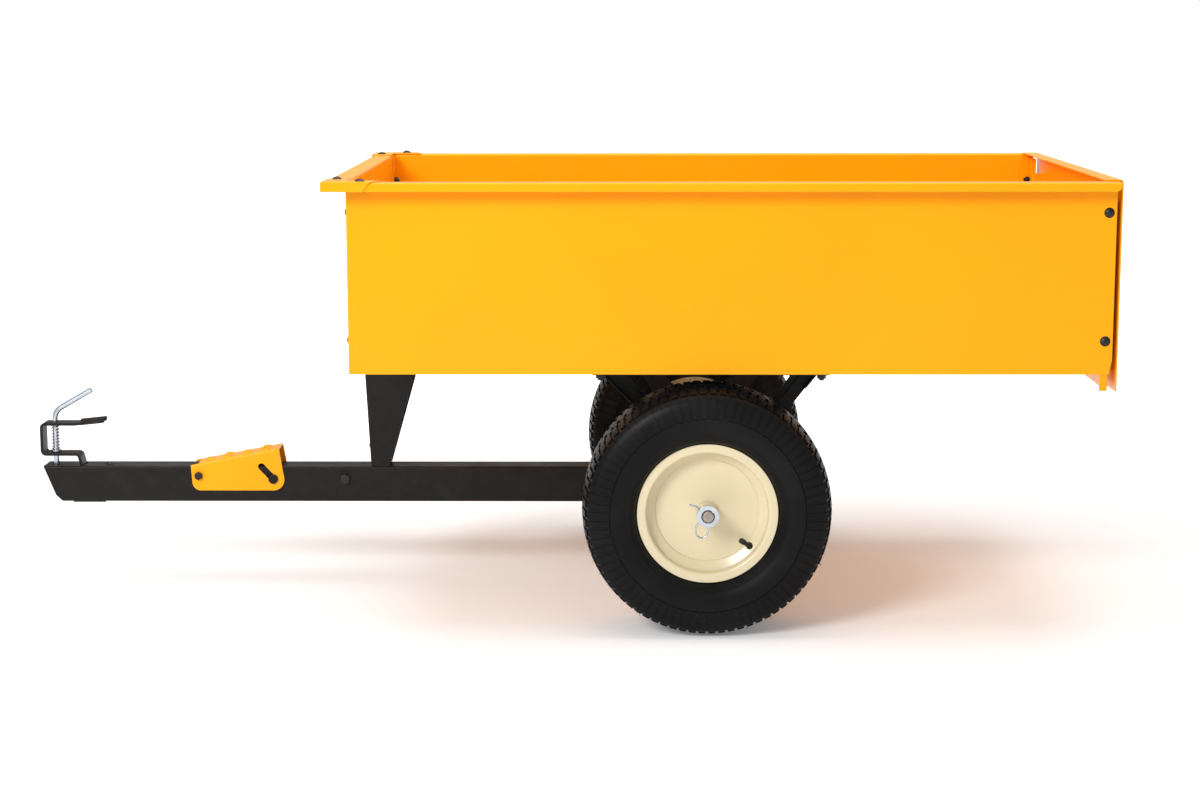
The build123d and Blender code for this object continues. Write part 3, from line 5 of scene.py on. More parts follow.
import bmesh
import bpy
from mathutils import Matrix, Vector

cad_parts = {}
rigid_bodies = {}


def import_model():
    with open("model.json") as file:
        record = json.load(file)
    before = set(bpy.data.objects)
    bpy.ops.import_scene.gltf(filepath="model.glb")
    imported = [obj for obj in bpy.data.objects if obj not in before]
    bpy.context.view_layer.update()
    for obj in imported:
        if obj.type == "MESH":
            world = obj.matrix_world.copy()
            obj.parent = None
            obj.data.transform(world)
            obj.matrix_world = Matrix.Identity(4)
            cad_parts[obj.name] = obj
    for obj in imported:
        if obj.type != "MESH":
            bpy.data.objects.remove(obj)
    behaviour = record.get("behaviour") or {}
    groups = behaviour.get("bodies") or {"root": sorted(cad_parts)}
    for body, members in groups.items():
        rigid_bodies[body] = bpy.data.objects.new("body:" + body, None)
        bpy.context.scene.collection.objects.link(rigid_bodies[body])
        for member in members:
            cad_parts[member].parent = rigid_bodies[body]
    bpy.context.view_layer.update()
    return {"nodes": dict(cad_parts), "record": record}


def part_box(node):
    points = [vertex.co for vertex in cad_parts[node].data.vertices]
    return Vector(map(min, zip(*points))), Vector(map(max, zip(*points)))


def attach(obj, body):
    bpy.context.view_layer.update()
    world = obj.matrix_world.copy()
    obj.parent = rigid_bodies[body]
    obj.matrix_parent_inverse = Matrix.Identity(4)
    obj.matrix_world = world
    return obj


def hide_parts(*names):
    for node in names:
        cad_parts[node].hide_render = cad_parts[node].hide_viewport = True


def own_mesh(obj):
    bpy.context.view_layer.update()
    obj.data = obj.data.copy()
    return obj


bl_info = {
    "name": "Garden Dump Cart",
    "version": (1, 0, 0),
    "blender": (4, 5, 0),
    "location": "3D View > Sidebar > Dump Cart",
    "description": "Finishes, tyres, valves, springs, welds and studio for a tow-behind dump cart",
    "category": "Object",
}

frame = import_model()
SIDES = (("left", -1), ("right", 1))
VALVE_ANGLE = math.radians(130)
VALVE_RADIUS = 0.09105
VALVE_OUT = 0.037
VALVE_LEAN = 0.85
RING_TOLERANCE = 0.00005


def middle(node):
    """Centre of a CAD node's box."""
    low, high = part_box(node)
    return (low + high) / 2


HUB = {side: Vector((middle("axle").x, middle(f"tyre_{side}").y, middle("axle").z)) for side, _ in SIDES}


# ---- sizes and colours a user may change ----
class CartPaintSettings(bpy.types.PropertyGroup):
    """Colours of the cart's finishes."""

    yellow: bpy.props.FloatVectorProperty(
        name="Bed yellow", description="Powder coat of the bed, tailgate and pedal", subtype="COLOR",
        size=4, min=0, max=1, default=(0.93, 0.37, 0.001, 1))
    black: bpy.props.FloatVectorProperty(
        name="Frame black", description="Paint of the tongue, stand, strap and brackets", subtype="COLOR",
        size=4, min=0, max=1, default=(0.0105, 0.0097, 0.0092, 1))
    cream: bpy.props.FloatVectorProperty(
        name="Wheel cream", description="Enamel of the rims and hubs", subtype="COLOR",
        size=4, min=0, max=1, default=(0.66, 0.575, 0.375, 1))
    rubber: bpy.props.FloatVectorProperty(
        name="Tyre rubber", description="Colour of the tyres and valve stems", subtype="COLOR",
        size=4, min=0, max=1, default=(0.0035, 0.0035, 0.0037, 1))
    zinc: bpy.props.FloatVectorProperty(
        name="Zinc", description="Plated pins, washers, clips and springs", subtype="COLOR",
        size=4, min=0, max=1, default=(0.50, 0.55, 0.61, 1))


class CartTyreSettings(bpy.types.PropertyGroup):
    """Sizes of the tyres' tread and sidewall."""

    ribs: bpy.props.IntProperty(
        name="Ribs", description="Shoulder ribs round the tyre", min=20, max=140, default=78)
    tread_depth: bpy.props.FloatProperty(
        name="Tread depth", description="Depth of the grooves in the tread", unit="LENGTH",
        min=0.001, max=0.008, default=0.003)
    rib_depth: bpy.props.FloatProperty(
        name="Rib depth", description="Height of the ribs on the shoulder", unit="LENGTH",
        min=0.0003, max=0.004, default=0.0014)
    hairs: bpy.props.IntProperty(
        name="Moulding hairs", description="Fine rubber hairs left by the mould", min=0, max=400, default=150)
    hair_length: bpy.props.FloatProperty(
        name="Hair length", description="Longest moulding hair", unit="LENGTH",
        min=0.001, max=0.01, default=0.006)


class CartSpringSettings(bpy.types.PropertyGroup):
    """Wires and turns of the two springs."""

    hitch_wire: bpy.props.FloatProperty(
        name="Hitch wire", description="Wire of the spring on the hitch pin", unit="LENGTH",
        min=0.0008, max=0.003, default=0.0018)
    hitch_turns: bpy.props.IntProperty(
        name="Hitch turns", description="Working turns of the spring on the hitch pin", min=3, max=12,
        default=7)
    latch_wire: bpy.props.FloatProperty(
        name="Latch wire", description="Wire of the spring inside the tongue", unit="LENGTH",
        min=0.0008, max=0.004, default=0.0022)
    latch_turns: bpy.props.IntProperty(
        name="Latch turns", description="Working turns of the spring inside the tongue", min=3, max=12,
        default=4)


class CartStudioSettings(bpy.types.PropertyGroup):
    """Camera and lights of the plain studio."""

    camera_place: bpy.props.FloatVectorProperty(
        name="Camera place", description="Where the camera stands", subtype="XYZ", unit="LENGTH",
        size=3, default=(0.12495, -4.04446, 0.9867))
    camera_turn: bpy.props.FloatVectorProperty(
        name="Camera turn", description="Tilt, roll and heading of the camera", subtype="EULER",
        unit="ROTATION",
        size=3, default=(1.4073, 0.0013, 0.0104))
    lens: bpy.props.FloatProperty(
        name="Lens", description="Focal length on a 36 mm wide sensor, in millimetres", min=10, max=300,
        default=69.04)
    key_power: bpy.props.FloatProperty(
        name="Key light", description="Power of the light at the front left", unit="POWER", min=0,
        default=150)
    top_power: bpy.props.FloatProperty(
        name="Top light", description="Power of the light over the bed", unit="POWER", min=0, default=70)
    room: bpy.props.FloatProperty(
        name="Room light", description="Strength of the light from all round", min=0, max=5, default=0.55)


# ---- modelling helpers ----
def clear_selection():
    """Leaves nothing selected, in object mode."""
    if bpy.context.object and bpy.context.object.mode != "OBJECT":
        bpy.ops.object.mode_set(mode="OBJECT")
    bpy.ops.object.select_all(action="DESELECT")


def only(piece):
    """Makes one piece the selected and active one."""
    clear_selection()
    piece.select_set(True)
    bpy.context.view_layer.objects.active = piece


def named(name):
    """Gives the object just added its name."""
    piece = bpy.context.object
    piece.name = name
    piece.data.name = name
    return piece


def settle(piece):
    """Puts a piece's place, turn and size into its mesh."""
    only(piece)
    bpy.ops.object.transform_apply(location=True, rotation=True, scale=True)
    return piece


def select_in_mesh(piece, faces=None, points=None):
    """Opens a piece in edit mode with the faces or points that pass a test selected."""
    only(piece)
    bpy.ops.object.mode_set(mode="EDIT")
    bpy.ops.mesh.select_mode(type="FACE" if faces else "VERT")
    bpy.ops.mesh.select_all(action="DESELECT")
    mesh = bmesh.from_edit_mesh(piece.data)
    if faces:
        for face in mesh.faces:
            face.select_set(faces(face.calc_center_median()))
    else:
        for point in mesh.verts:
            point.select_set(points(point.co))
    mesh.select_flush_mode()
    bmesh.update_edit_mesh(piece.data)


def close_up(piece):
    """Merges doubled points, closes open ends and points the faces outwards."""
    only(piece)
    bpy.ops.object.mode_set(mode="EDIT")
    bpy.ops.mesh.select_all(action="SELECT")
    bpy.ops.mesh.remove_doubles(threshold=0.00001)
    bpy.ops.mesh.select_mode(type="EDGE")
    bpy.ops.mesh.select_all(action="DESELECT")
    bpy.ops.mesh.select_non_manifold(extend=False)
    bpy.ops.mesh.fill_holes(sides=0)
    bpy.ops.mesh.select_all(action="SELECT")
    bpy.ops.mesh.normals_make_consistent(inside=False)
    bpy.ops.object.mode_set(mode="OBJECT")
    return piece


def turned(name, outline, steps):
    """Draws a turned piece about Z, ring by ring, from its (radius, height) outline."""
    clear_selection()
    radius, height = outline[0]
    bpy.ops.mesh.primitive_circle_add(vertices=steps, radius=radius, location=(0, 0, height))
    piece = named(name)
    settle(piece)
    bpy.ops.object.mode_set(mode="EDIT")
    bpy.ops.mesh.select_mode(type="VERT")
    bpy.ops.mesh.select_all(action="SELECT")
    for next_radius, next_height in outline[1:]:
        bpy.ops.mesh.extrude_region_move(TRANSFORM_OT_translate={"value": (0, 0, next_height - height)})
        grow = next_radius / radius
        bpy.ops.transform.resize(value=(grow, grow, 1), center_override=(0, 0, 0))
        radius, height = next_radius, next_height
    bpy.ops.object.mode_set(mode="OBJECT")
    close_up(piece)
    heights = [point.co.z for point in piece.data.vertices]
    levels = [level for _, level in outline]
    if abs(max(heights) - min(heights) - max(levels) + min(levels)) > RING_TOLERANCE:
        raise RuntimeError(f"{name} has lost rings of its outline")
    return piece


def smooth(piece, degrees=35):
    """Smooth shading up to an angle."""
    only(piece)
    bpy.ops.object.shade_smooth_by_angle(angle=math.radians(degrees))
    return piece


def copy_of(piece, name):
    """Another piece of the same shape with a mesh of its own."""
    twin = piece.copy()
    twin.data = piece.data.copy()
    twin.name = name
    twin.data.name = name
    bpy.context.scene.collection.objects.link(twin)
    return twin


def joined(pieces, name):
    """Several pieces made one."""
    clear_selection()
    for piece in pieces:
        piece.select_set(True)
    bpy.context.view_layer.objects.active = pieces[0]
    bpy.ops.object.join()
    piece = named(name)
    return settle(piece)


def dress(piece, material, body):
    """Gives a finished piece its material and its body."""
    piece.data.materials.clear()
    piece.data.materials.append(bpy.data.materials[material])
    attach(piece, body)


# ---- shader building ----
def node(tree, kind, spot, inputs=None, **settings):
    """Adds a shader node at a spot, with its settings and the values of its inputs."""
    made = tree.nodes.new(kind)
    made.location = (spot[0] * 200, spot[1] * 200)
    for key, value in settings.items():
        setattr(made, key, value)
    for key, value in (inputs or {}).items():
        made.inputs[key].default_value = value
    return made


def chain(tree, *pairs):
    """Links pairs of sockets."""
    for start, end in pairs:
        tree.links.new(start, end)


def new_group(name, inputs, outputs):
    """An empty shader node group with its named sockets."""
    tree = bpy.data.node_groups.new(name, "ShaderNodeTree")
    for key, kind, value in inputs:
        socket = tree.interface.new_socket(name=key, in_out="INPUT", socket_type=kind)
        socket.default_value = value
    for key, kind in outputs:
        tree.interface.new_socket(name=key, in_out="OUTPUT", socket_type=kind)
    start = node(tree, "NodeGroupInput", (-5, 0))
    end = node(tree, "NodeGroupOutput", (5, 0))
    return tree, start, end


def ripple_group():
    """Orange peel of sprayed paint over broader waves in the sheet."""
    tree, start, end = new_group(
        "Coat Ripple", [("Grain", "NodeSocketFloat", 900.0), ("Waves", "NodeSocketFloat", 0.5)],
        [("Height", "NodeSocketFloat")])
    place = node(tree, "ShaderNodeTexCoord", (-4, 0))
    fine = node(tree, "ShaderNodeTexNoise", (-2, 1), {"Detail": 1.5, "Roughness": 0.4})
    broad = node(tree, "ShaderNodeTexNoise", (-2, -1), {"Scale": 5.0, "Detail": 1.0})
    blend = node(tree, "ShaderNodeMath", (2, 0), operation="MULTIPLY_ADD")
    chain(tree, (place.outputs["Object"], fine.inputs["Vector"]),
        (start.outputs["Grain"], fine.inputs["Scale"]),
          (place.outputs["Object"], broad.inputs["Vector"]), (broad.outputs["Fac"], blend.inputs[0]),
          (start.outputs["Waves"], blend.inputs[1]), (fine.outputs["Fac"], blend.inputs[2]),
          (blend.outputs[0], end.inputs["Height"]))
    return tree


def edge_group():
    """Softened edge normals, and a patchy mask of the edges that carries a painted highlight."""
    tree, start, end = new_group(
        "Soft Edges", [("Radius", "NodeSocketFloat", 0.001)],
        [("Normal", "NodeSocketVector"), ("Edge", "NodeSocketFloat")])
    bevel = node(tree, "ShaderNodeBevel", (-3, 1), samples=4)
    flat = node(tree, "ShaderNodeNewGeometry", (-3, -1))
    dot = node(tree, "ShaderNodeVectorMath", (-1, 0), operation="DOT_PRODUCT")
    edge = node(tree, "ShaderNodeMapRange", (1, 0), {"From Min": 0.995, "From Max": 0.85})
    place = node(tree, "ShaderNodeTexCoord", (-3, -2))
    patches = node(tree, "ShaderNodeTexNoise", (-1, -2), {"Scale": 60.0, "Detail": 4.0})
    # painted highlight mask: the edge mask broken up by noise patches
    highlight_patches = node(tree, "ShaderNodeMath", (3, -1), operation="MULTIPLY")
    chain(tree, (start.outputs["Radius"], bevel.inputs["Radius"]), (bevel.outputs[0], dot.inputs[0]),
          (flat.outputs["Normal"], dot.inputs[1]), (dot.outputs["Value"], edge.inputs["Value"]),
          (place.outputs["Object"], patches.inputs["Vector"]), (edge.outputs[0], highlight_patches.inputs[0]),
          (patches.outputs["Fac"], highlight_patches.inputs[1]), (bevel.outputs[0], end.inputs["Normal"]),
          (highlight_patches.outputs[0], end.inputs["Edge"]))
    return tree


def dust_group():
    """Mask of fine dust that settles on faces that look up."""
    tree, start, end = new_group(
        "Settled Dust", [("Amount", "NodeSocketFloat", 0.2)], [("Mask", "NodeSocketFloat")])
    geometry = node(tree, "ShaderNodeNewGeometry", (-4, 1))
    split = node(tree, "ShaderNodeSeparateXYZ", (-3, 1))
    upward = node(tree, "ShaderNodeMapRange", (-1, 1), {"From Min": -0.3, "From Max": 1.0})
    place = node(tree, "ShaderNodeTexCoord", (-4, -1))
    specks = node(tree, "ShaderNodeTexNoise", (-2, -1), {"Scale": 34.0, "Detail": 9.0, "Roughness": 0.7})
    thin = node(tree, "ShaderNodeMapRange", (0, -1), {"From Min": 0.42, "From Max": 0.75})
    both = node(tree, "ShaderNodeMath", (2, 0), operation="MULTIPLY")
    amount = node(tree, "ShaderNodeMath", (3, 0), operation="MULTIPLY")
    chain(tree, (geometry.outputs["Normal"], split.inputs[0]), (split.outputs["Z"], upward.inputs["Value"]),
          (place.outputs["Object"], specks.inputs["Vector"]), (specks.outputs["Fac"], thin.inputs["Value"]),
          (upward.outputs[0], both.inputs[0]), (thin.outputs[0], both.inputs[1]),
          (both.outputs[0], amount.inputs[0]), (start.outputs["Amount"], amount.inputs[1]),
          (amount.outputs[0], end.inputs["Mask"]))
    return tree


def cloud_group():
    """Slow change between a low and a high value over a surface."""
    tree, start, end = new_group(
        "Slow Clouds",
        [("Scale", "NodeSocketFloat", 6.0), ("Low", "NodeSocketFloat", 0.0),
            ("High", "NodeSocketFloat", 1.0)],
        [("Value", "NodeSocketFloat")])
    place = node(tree, "ShaderNodeTexCoord", (-4, 0))
    clouds = node(tree, "ShaderNodeTexNoise", (-2, 0), {"Detail": 5.0, "Roughness": 0.55})
    span = node(tree, "ShaderNodeMapRange", (1, 0), {"From Min": 0.3, "From Max": 0.7})
    chain(tree, (place.outputs["Object"], clouds.inputs["Vector"]),
        (start.outputs["Scale"], clouds.inputs["Scale"]),
          (clouds.outputs["Fac"], span.inputs["Value"]), (start.outputs["Low"], span.inputs["To Min"]),
          (start.outputs["High"], span.inputs["To Max"]), (span.outputs[0], end.inputs["Value"]))
    return tree


def scratch_group():
    """Fine crossing hairlines left by handling and tumbling."""
    tree, start, end = new_group(
        "Hairlines", [("Scale", "NodeSocketFloat", 120.0)], [("Height", "NodeSocketFloat")])
    place = node(tree, "ShaderNodeTexCoord", (-4, 0))
    lines = []
    for row, turn in ((1, 0.4), (-1, -0.9)):
        stretch = node(tree, "ShaderNodeMapping", (-3, row),
                       {"Rotation": (turn, turn * 0.7, turn), "Scale": (1.0, 14.0, 14.0)})
        grain = node(tree, "ShaderNodeTexNoise", (-1, row), {"Detail": 2.0})
        chain(tree, (place.outputs["Object"], stretch.inputs["Vector"]),
            (stretch.outputs[0], grain.inputs["Vector"]),
              (start.outputs["Scale"], grain.inputs["Scale"]))
        lines.append(grain)
    both = node(tree, "ShaderNodeMath", (2, 0), operation="ADD")
    chain(tree, (lines[0].outputs["Fac"], both.inputs[0]), (lines[1].outputs["Fac"], both.inputs[1]),
          (both.outputs[0], end.inputs["Height"]))
    return tree


def group_node(tree, name, spot, inputs=None):
    """Places one of the cart's shader groups in a material."""
    made = node(tree, "ShaderNodeGroup", spot, node_tree=bpy.data.node_groups[name])
    for key, value in (inputs or {}).items():
        made.inputs[key].default_value = value
    return made


def new_material(name, **sockets):
    """An empty node material with its Principled shader set, in place of the frame's plain one."""
    plain = bpy.data.materials.get(name)
    if plain:
        bpy.data.materials.remove(plain)
    material = bpy.data.materials.new(name)
    if material.name != name:
        raise RuntimeError(f"the finish {name} could not take its name")
    material.use_nodes = True
    tree = material.node_tree
    tree.nodes.clear()
    shader = node(tree, "ShaderNodeBsdfPrincipled", (6, 0))
    for key, value in sockets.items():
        shader.inputs[key.replace("_", " ")].default_value = value
    out = node(tree, "ShaderNodeOutputMaterial", (8, 0))
    chain(tree, (shader.outputs[0], out.inputs[0]))
    return tree, shader


def tint(colour, factor):
    """A colour made lighter or darker."""
    return (*(min(1.0, part * factor) for part in colour[:3]), 1)


def mixed(tree, spot, mask, first, second):
    """Mixes two colours by a mask; either may be a plain colour or a socket."""
    mix = node(tree, "ShaderNodeMix", spot, data_type="RGBA")
    chain(tree, (mask, mix.inputs["Factor"]))
    for socket, colour in ((mix.inputs[6], first), (mix.inputs[7], second)):
        if isinstance(colour, bpy.types.NodeSocket):
            chain(tree, (colour, socket))
        else:
            socket.default_value = colour
    return mix.outputs[2]


def painted(name, colour, edge_highlight, rough, grain, ripple, radius, dust, shader_values):
    """A sprayed finish: orange peel, a painted highlight along the edges, slow colour change and a little
    dust.
    """
    tree, shader = new_material(name, **shader_values)
    clouds = group_node(tree, "Slow Clouds", (-4, 2), {"Scale": 3.0})
    base = mixed(tree, (-1, 2), clouds.outputs[0], tint(colour, 0.965), tint(colour, 1.035))
    edges = group_node(tree, "Soft Edges", (-4, -2), {"Radius": radius})
    # painted highlight: a lighter colour mixed in along the edges, in patches
    highlit = mixed(tree, (1, 2), edges.outputs["Edge"], base, edge_highlight)
    film = group_node(tree, "Settled Dust", (-4, 0), {"Amount": dust})
    dusty = mixed(tree, (3, 2), film.outputs[0], highlit, (0.45, 0.4, 0.33, 1))
    gloss = group_node(tree, "Slow Clouds", (-4, 1),
        {"Scale": 14.0, "Low": rough * 0.85, "High": rough * 1.2})
    duller = node(tree, "ShaderNodeMath", (2, 1), operation="ADD")
    peel = group_node(tree, "Coat Ripple", (-4, -1), {"Grain": grain})
    bump = node(tree, "ShaderNodeBump", (3, -1), {"Strength": ripple, "Distance": 0.0002})
    chain(tree, (dusty, shader.inputs["Base Color"]), (gloss.outputs[0], duller.inputs[0]),
          (film.outputs[0], duller.inputs[1]), (duller.outputs[0], shader.inputs["Roughness"]),
          (peel.outputs[0], bump.inputs["Height"]), (edges.outputs["Normal"], bump.inputs["Normal"]),
          (bump.outputs[0], shader.inputs["Normal"]))


def plated(name, low, high, rough, shader_values):
    """A bare or plated metal with hairlines and a cloudy shine."""
    tree, shader = new_material(name, Metallic=1.0, **shader_values)
    clouds = group_node(tree, "Slow Clouds", (-4, 2), {"Scale": 70.0})
    base = mixed(tree, (1, 2), clouds.outputs[0], low, high)
    gloss = group_node(tree, "Slow Clouds", (-4, 1), {"Scale": 45.0, "Low": rough * 0.7, "High": rough * 1.4})
    lines = group_node(tree, "Hairlines", (-4, -1))
    edges = group_node(tree, "Soft Edges", (-4, -2), {"Radius": 0.0006})
    bump = node(tree, "ShaderNodeBump", (3, -1), {"Strength": 0.25, "Distance": 0.0001})
    chain(tree, (base, shader.inputs["Base Color"]), (gloss.outputs[0], shader.inputs["Roughness"]),
          (lines.outputs[0], bump.inputs["Height"]), (edges.outputs["Normal"], bump.inputs["Normal"]),
          (bump.outputs[0], shader.inputs["Normal"]))


def moulded(name, colour, grey, rough, grain, depth, dust, gleam=0.3):
    """Moulded rubber or plastic with a fine skin and dust in it."""
    tree, shader = new_material(name, Specular_IOR_Level=gleam)
    clouds = group_node(tree, "Slow Clouds", (-4, 2), {"Scale": 9.0})
    base = mixed(tree, (-1, 2), clouds.outputs[0], colour, grey)
    film = group_node(tree, "Settled Dust", (-4, 0), {"Amount": dust})
    dusty = mixed(tree, (2, 2), film.outputs[0], base, (0.16, 0.12, 0.085, 1))
    gloss = group_node(tree, "Slow Clouds", (-4, 1),
        {"Scale": 26.0, "Low": rough * 0.85, "High": rough * 1.25})
    skin = group_node(tree, "Coat Ripple", (-4, -1), {"Grain": grain, "Waves": 0.2})
    bump = node(tree, "ShaderNodeBump", (3, -1), {"Strength": depth, "Distance": 0.0004})
    chain(tree, (dusty, shader.inputs["Base Color"]), (gloss.outputs[0], shader.inputs["Roughness"]),
          (skin.outputs[0], bump.inputs["Height"]), (bump.outputs[0], shader.inputs["Normal"]))


def make_finishes(paint):
    """Every material of the cart, named as the record's slots."""
    for build in (ripple_group, edge_group, dust_group, cloud_group, scratch_group):
        build()
    yellow, black, cream = paint.yellow[:], paint.black[:], paint.cream[:]
    # the second colour of each painted finish is its painted edge highlight
    painted("yellow_paint", yellow, (1.0, 0.66, 0.12, 1), 0.3, 750.0, 0.16, 0.0012, 0.03,
            {"Coat_Weight": 0.06, "Coat_Roughness": 0.09, "Specular_IOR_Level": 0.15})
    painted("black_paint", black, (0.07, 0.066, 0.062, 1), 0.42, 900.0, 0.3, 0.0009, 0.05,
            {"Specular_IOR_Level": 0.14})
    painted("cream_paint", cream, (0.92, 0.86, 0.7, 1), 0.3, 600.0, 0.14, 0.0012, 0.04,
            {"Coat_Weight": 0.3, "Coat_Roughness": 0.12})
    painted("black_fastener", (0.02, 0.0185, 0.0175, 1), (0.16, 0.15, 0.14, 1), 0.38, 1400.0, 0.35, 0.0007,
        0.06,
            {"Metallic": 0.55})
    zinc = paint.zinc[:]
    plated("zinc", tint(zinc, 0.86), tint(zinc, 1.1), 0.26, {})
    plated("axle_steel", (0.30, 0.265, 0.235, 1), (0.42, 0.38, 0.34, 1), 0.38, {})
    rubber = paint.rubber[:]
    moulded("tyre_rubber", rubber, (0.008, 0.008, 0.0084, 1), 0.4, 420.0, 0.35, 0.02, 0.1)
    moulded("valve_rubber", rubber, (0.018, 0.018, 0.018, 1), 0.4, 900.0, 0.25, 0.03)
    moulded("bush_plastic", (0.03, 0.03, 0.031, 1), (0.042, 0.042, 0.043, 1), 0.45, 1100.0, 0.3, 0.04)


# ---- the cart's own pieces ----
def tyre_outline(tread_depth, rib_depth):
    """Half of a tyre's outline, crown to bead, as (radius, offset) rings set in for the tread."""
    tread = [(0.2032, 0.0), (0.20315, 0.008), (0.2031, 0.012), (0.2028, 0.021), (0.2024, 0.030),
        (0.2022, 0.034),
             (0.2013, 0.045), (0.1997, 0.056), (0.1979, 0.064)]
    ribs = [(0.1946, 0.0700), (0.1910, 0.0740), (0.1855, 0.0772), (0.1790, 0.0794), (0.1705, 0.0812),
            (0.1630, 0.0822), (0.1585, 0.0825)]
    wall = [(0.1575, 0.0824), (0.1570, 0.0829), (0.1558, 0.0829), (0.1553, 0.0824), (0.1500, 0.0820),
            (0.1420, 0.0808), (0.1345, 0.0787), (0.1295, 0.0765), (0.1285, 0.0768), (0.1270, 0.0760),
            (0.1262, 0.0748), (0.1212, 0.0715), (0.1180, 0.0675), (0.1162, 0.0640), (0.1150, 0.0600)]
    bead = [(0.1145, 0.0585), (0.1049, 0.0585), (0.1019, 0.0555), (0.1019, 0.0445)]
    liner = [(0.1059, 0.0445), (0.1162, 0.0530), (0.1332, 0.0701), (0.1562, 0.0730), (0.1802, 0.0690),
             (0.1908, 0.0454), (0.1937, 0.0)]
    half = [(r - tread_depth, y) for r, y in tread]
    slopes = ((0.75, 0.65), (0.75, 0.65), (0.4, 0.9), (0.25, 0.97), (0.12, 0.99), (0.08, 1.0), (0.0, 1.0))
    half += [(r - rib_depth * a, y - rib_depth * b) for (r, y), (a, b) in zip(ribs, slopes)]
    return half + wall + bead + liner


def in_rib(point, ribs, shift):
    """True where a face's angle falls on a rib and not in the groove beside it."""
    turn = math.atan2(point.y, point.x) / (2 * math.pi) * ribs + shift
    return 1 / 6 <= turn % 1 < 5 / 6


def make_tyre(settings):
    """One tyre about Z: tread blocks, ribbed shoulders, ringed sidewalls and a hollow inside."""
    half = tyre_outline(settings.tread_depth, settings.rib_depth)
    outline = half + [(r, -y) for r, y in reversed(half[1:-1])] + [half[0]]
    tyre = turned("tyre_left", outline, settings.ribs * 6)
    ribs = settings.ribs

    def tread_block(point):
        """Faces of the tread that stand up: a middle band and three rows of blocks."""
        r, y = math.hypot(point.x, point.y), abs(point.z)
        if r < 0.192 or y > 0.064:
            return False
        side = 0.5 if point.z > 0 else 0.0
        rows = ((0.0, 0.008, None), (0.012, 0.030, side + 0.25), (0.034, 0.064, side))
        return any(low < y < high and (shift is None or in_rib(point, ribs, shift))
                   for low, high, shift in rows)

    def shoulder_rib(point):
        """Faces of the shoulder that stand up as ribs."""
        r, y = math.hypot(point.x, point.y), abs(point.z)
        side = 0.5 if point.z > 0 else 0.0
        return 0.158 < r < 0.1945 and y > 0.0685 and in_rib(point, ribs, side)

    for test, depth in ((tread_block, settings.tread_depth), (shoulder_rib, settings.rib_depth)):
        select_in_mesh(tyre, faces=test)
        bpy.ops.mesh.extrude_region_shrink_fatten(TRANSFORM_OT_shrink_fatten={"value": depth})
    bpy.ops.object.mode_set(mode="OBJECT")
    return smooth(tyre, 32)


def make_hairs(settings, seed):
    """Fine hairs on the edges of the tread, about Z."""
    clear_selection()
    bpy.ops.mesh.primitive_cone_add(vertices=4, radius1=0.0004, radius2=0.00012, depth=1.0,
        location=(0, 0, 0.5))
    hair = settle(named("hair"))
    chance = random.Random(seed)
    hairs = []
    for _ in range(settings.hairs):
        angle = chance.uniform(-math.pi, math.pi)
        side = chance.choice((-1, 1))
        row = chance.random()
        r, y = (0.2, 0.061) if row < 0.7 else (0.191, 0.0735)
        outward = Vector((math.cos(angle), math.sin(angle), 0))
        lean = outward * chance.uniform(0.5, 1.0) + Vector((0, 0, side)) * chance.uniform(0.2, 0.9)
        lean += Vector((-math.sin(angle), math.cos(angle), 0)) * chance.uniform(-0.5, 0.5)
        low = outward.y < -0.9
        one = copy_of(hair, "hair")
        one.location = outward * (r - 0.001) + Vector((0, 0, side * y))
        one.rotation_euler = lean.to_track_quat("Z", "Y").to_euler()
        one.scale = (1, 1, settings.hair_length * (0.2 if low else chance.uniform(0.4, 1.0)))
        hairs.append(one)
    bpy.data.objects.remove(hair)
    return joined(hairs, "tyre_hairs")


class CART_OT_tyres(bpy.types.Operator):
    """Models both tyres with their ribs and moulding hairs"""

    bl_idname = "cart.tyres"
    bl_label = "Tyres"

    def execute(self, context):
        settings = context.scene.cart_tyres
        tyre = make_tyre(settings)
        for side, sign in SIDES:
            piece = tyre if side == "left" else copy_of(tyre, "tyre_right")
            piece.name = f"treaded_tyre_{side}"
            hairs = make_hairs(settings, 7 + sign)
            hairs.name = f"tyre_hairs_{side}"
            for part in (piece, hairs):
                part.location = HUB[side]
                part.rotation_euler = (math.pi / 2, 0, 0)
        for side, _ in SIDES:
            for name in (f"treaded_tyre_{side}", f"tyre_hairs_{side}"):
                piece = settle(bpy.data.objects[name])
                dress(piece, "tyre_rubber", f"wheel_{side}")
            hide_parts(f"tyre_{side}")
        return {"FINISHED"}


class CART_OT_valves(bpy.types.Operator):
    """Models the snap-in valve of each wheel"""

    bl_idname = "cart.valves"
    bl_label = "Valves"

    def execute(self, context):
        outline = [(0.0006, -0.006), (0.0058, -0.006), (0.0062, -0.004), (0.0060, 0.001), (0.0044, 0.003),
                   (0.0038, 0.006), (0.0037, 0.013), (0.0040, 0.0155), (0.0040, 0.0165), (0.0045, 0.0172),
                   (0.0046, 0.0185), (0.0044, 0.0190), (0.0046, 0.0195), (0.0046, 0.0250), (0.0042, 0.0262),
                   (0.0030, 0.0268), (0.0006, 0.0270)]
        stem = smooth(turned("valve", outline, 40), 40)
        for side, sign in SIDES:
            low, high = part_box(f"valve_stem_{side}")
            piece = copy_of(stem, f"valve_{side}")
            outward = Vector((math.sin(VALVE_ANGLE), 0, math.cos(VALVE_ANGLE)))
            root = HUB[side] + outward * VALVE_RADIUS + Vector((0, sign * VALVE_OUT, 0))
            lean = (Vector((0, sign * VALVE_LEAN, 0)) - outward).normalized()
            if not low.y - 0.01 < root.y < high.y + 0.01:
                raise RuntimeError(f"the {side} valve is not where the wheel has its hole")
            piece.location = root
            piece.rotation_euler = lean.to_track_quat("Z", "Y").to_euler()
            settle(piece)
            dress(piece, "valve_rubber", f"wheel_{side}")
            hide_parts(f"valve_stem_{side}")
        bpy.data.objects.remove(stem)
        return {"FINISHED"}


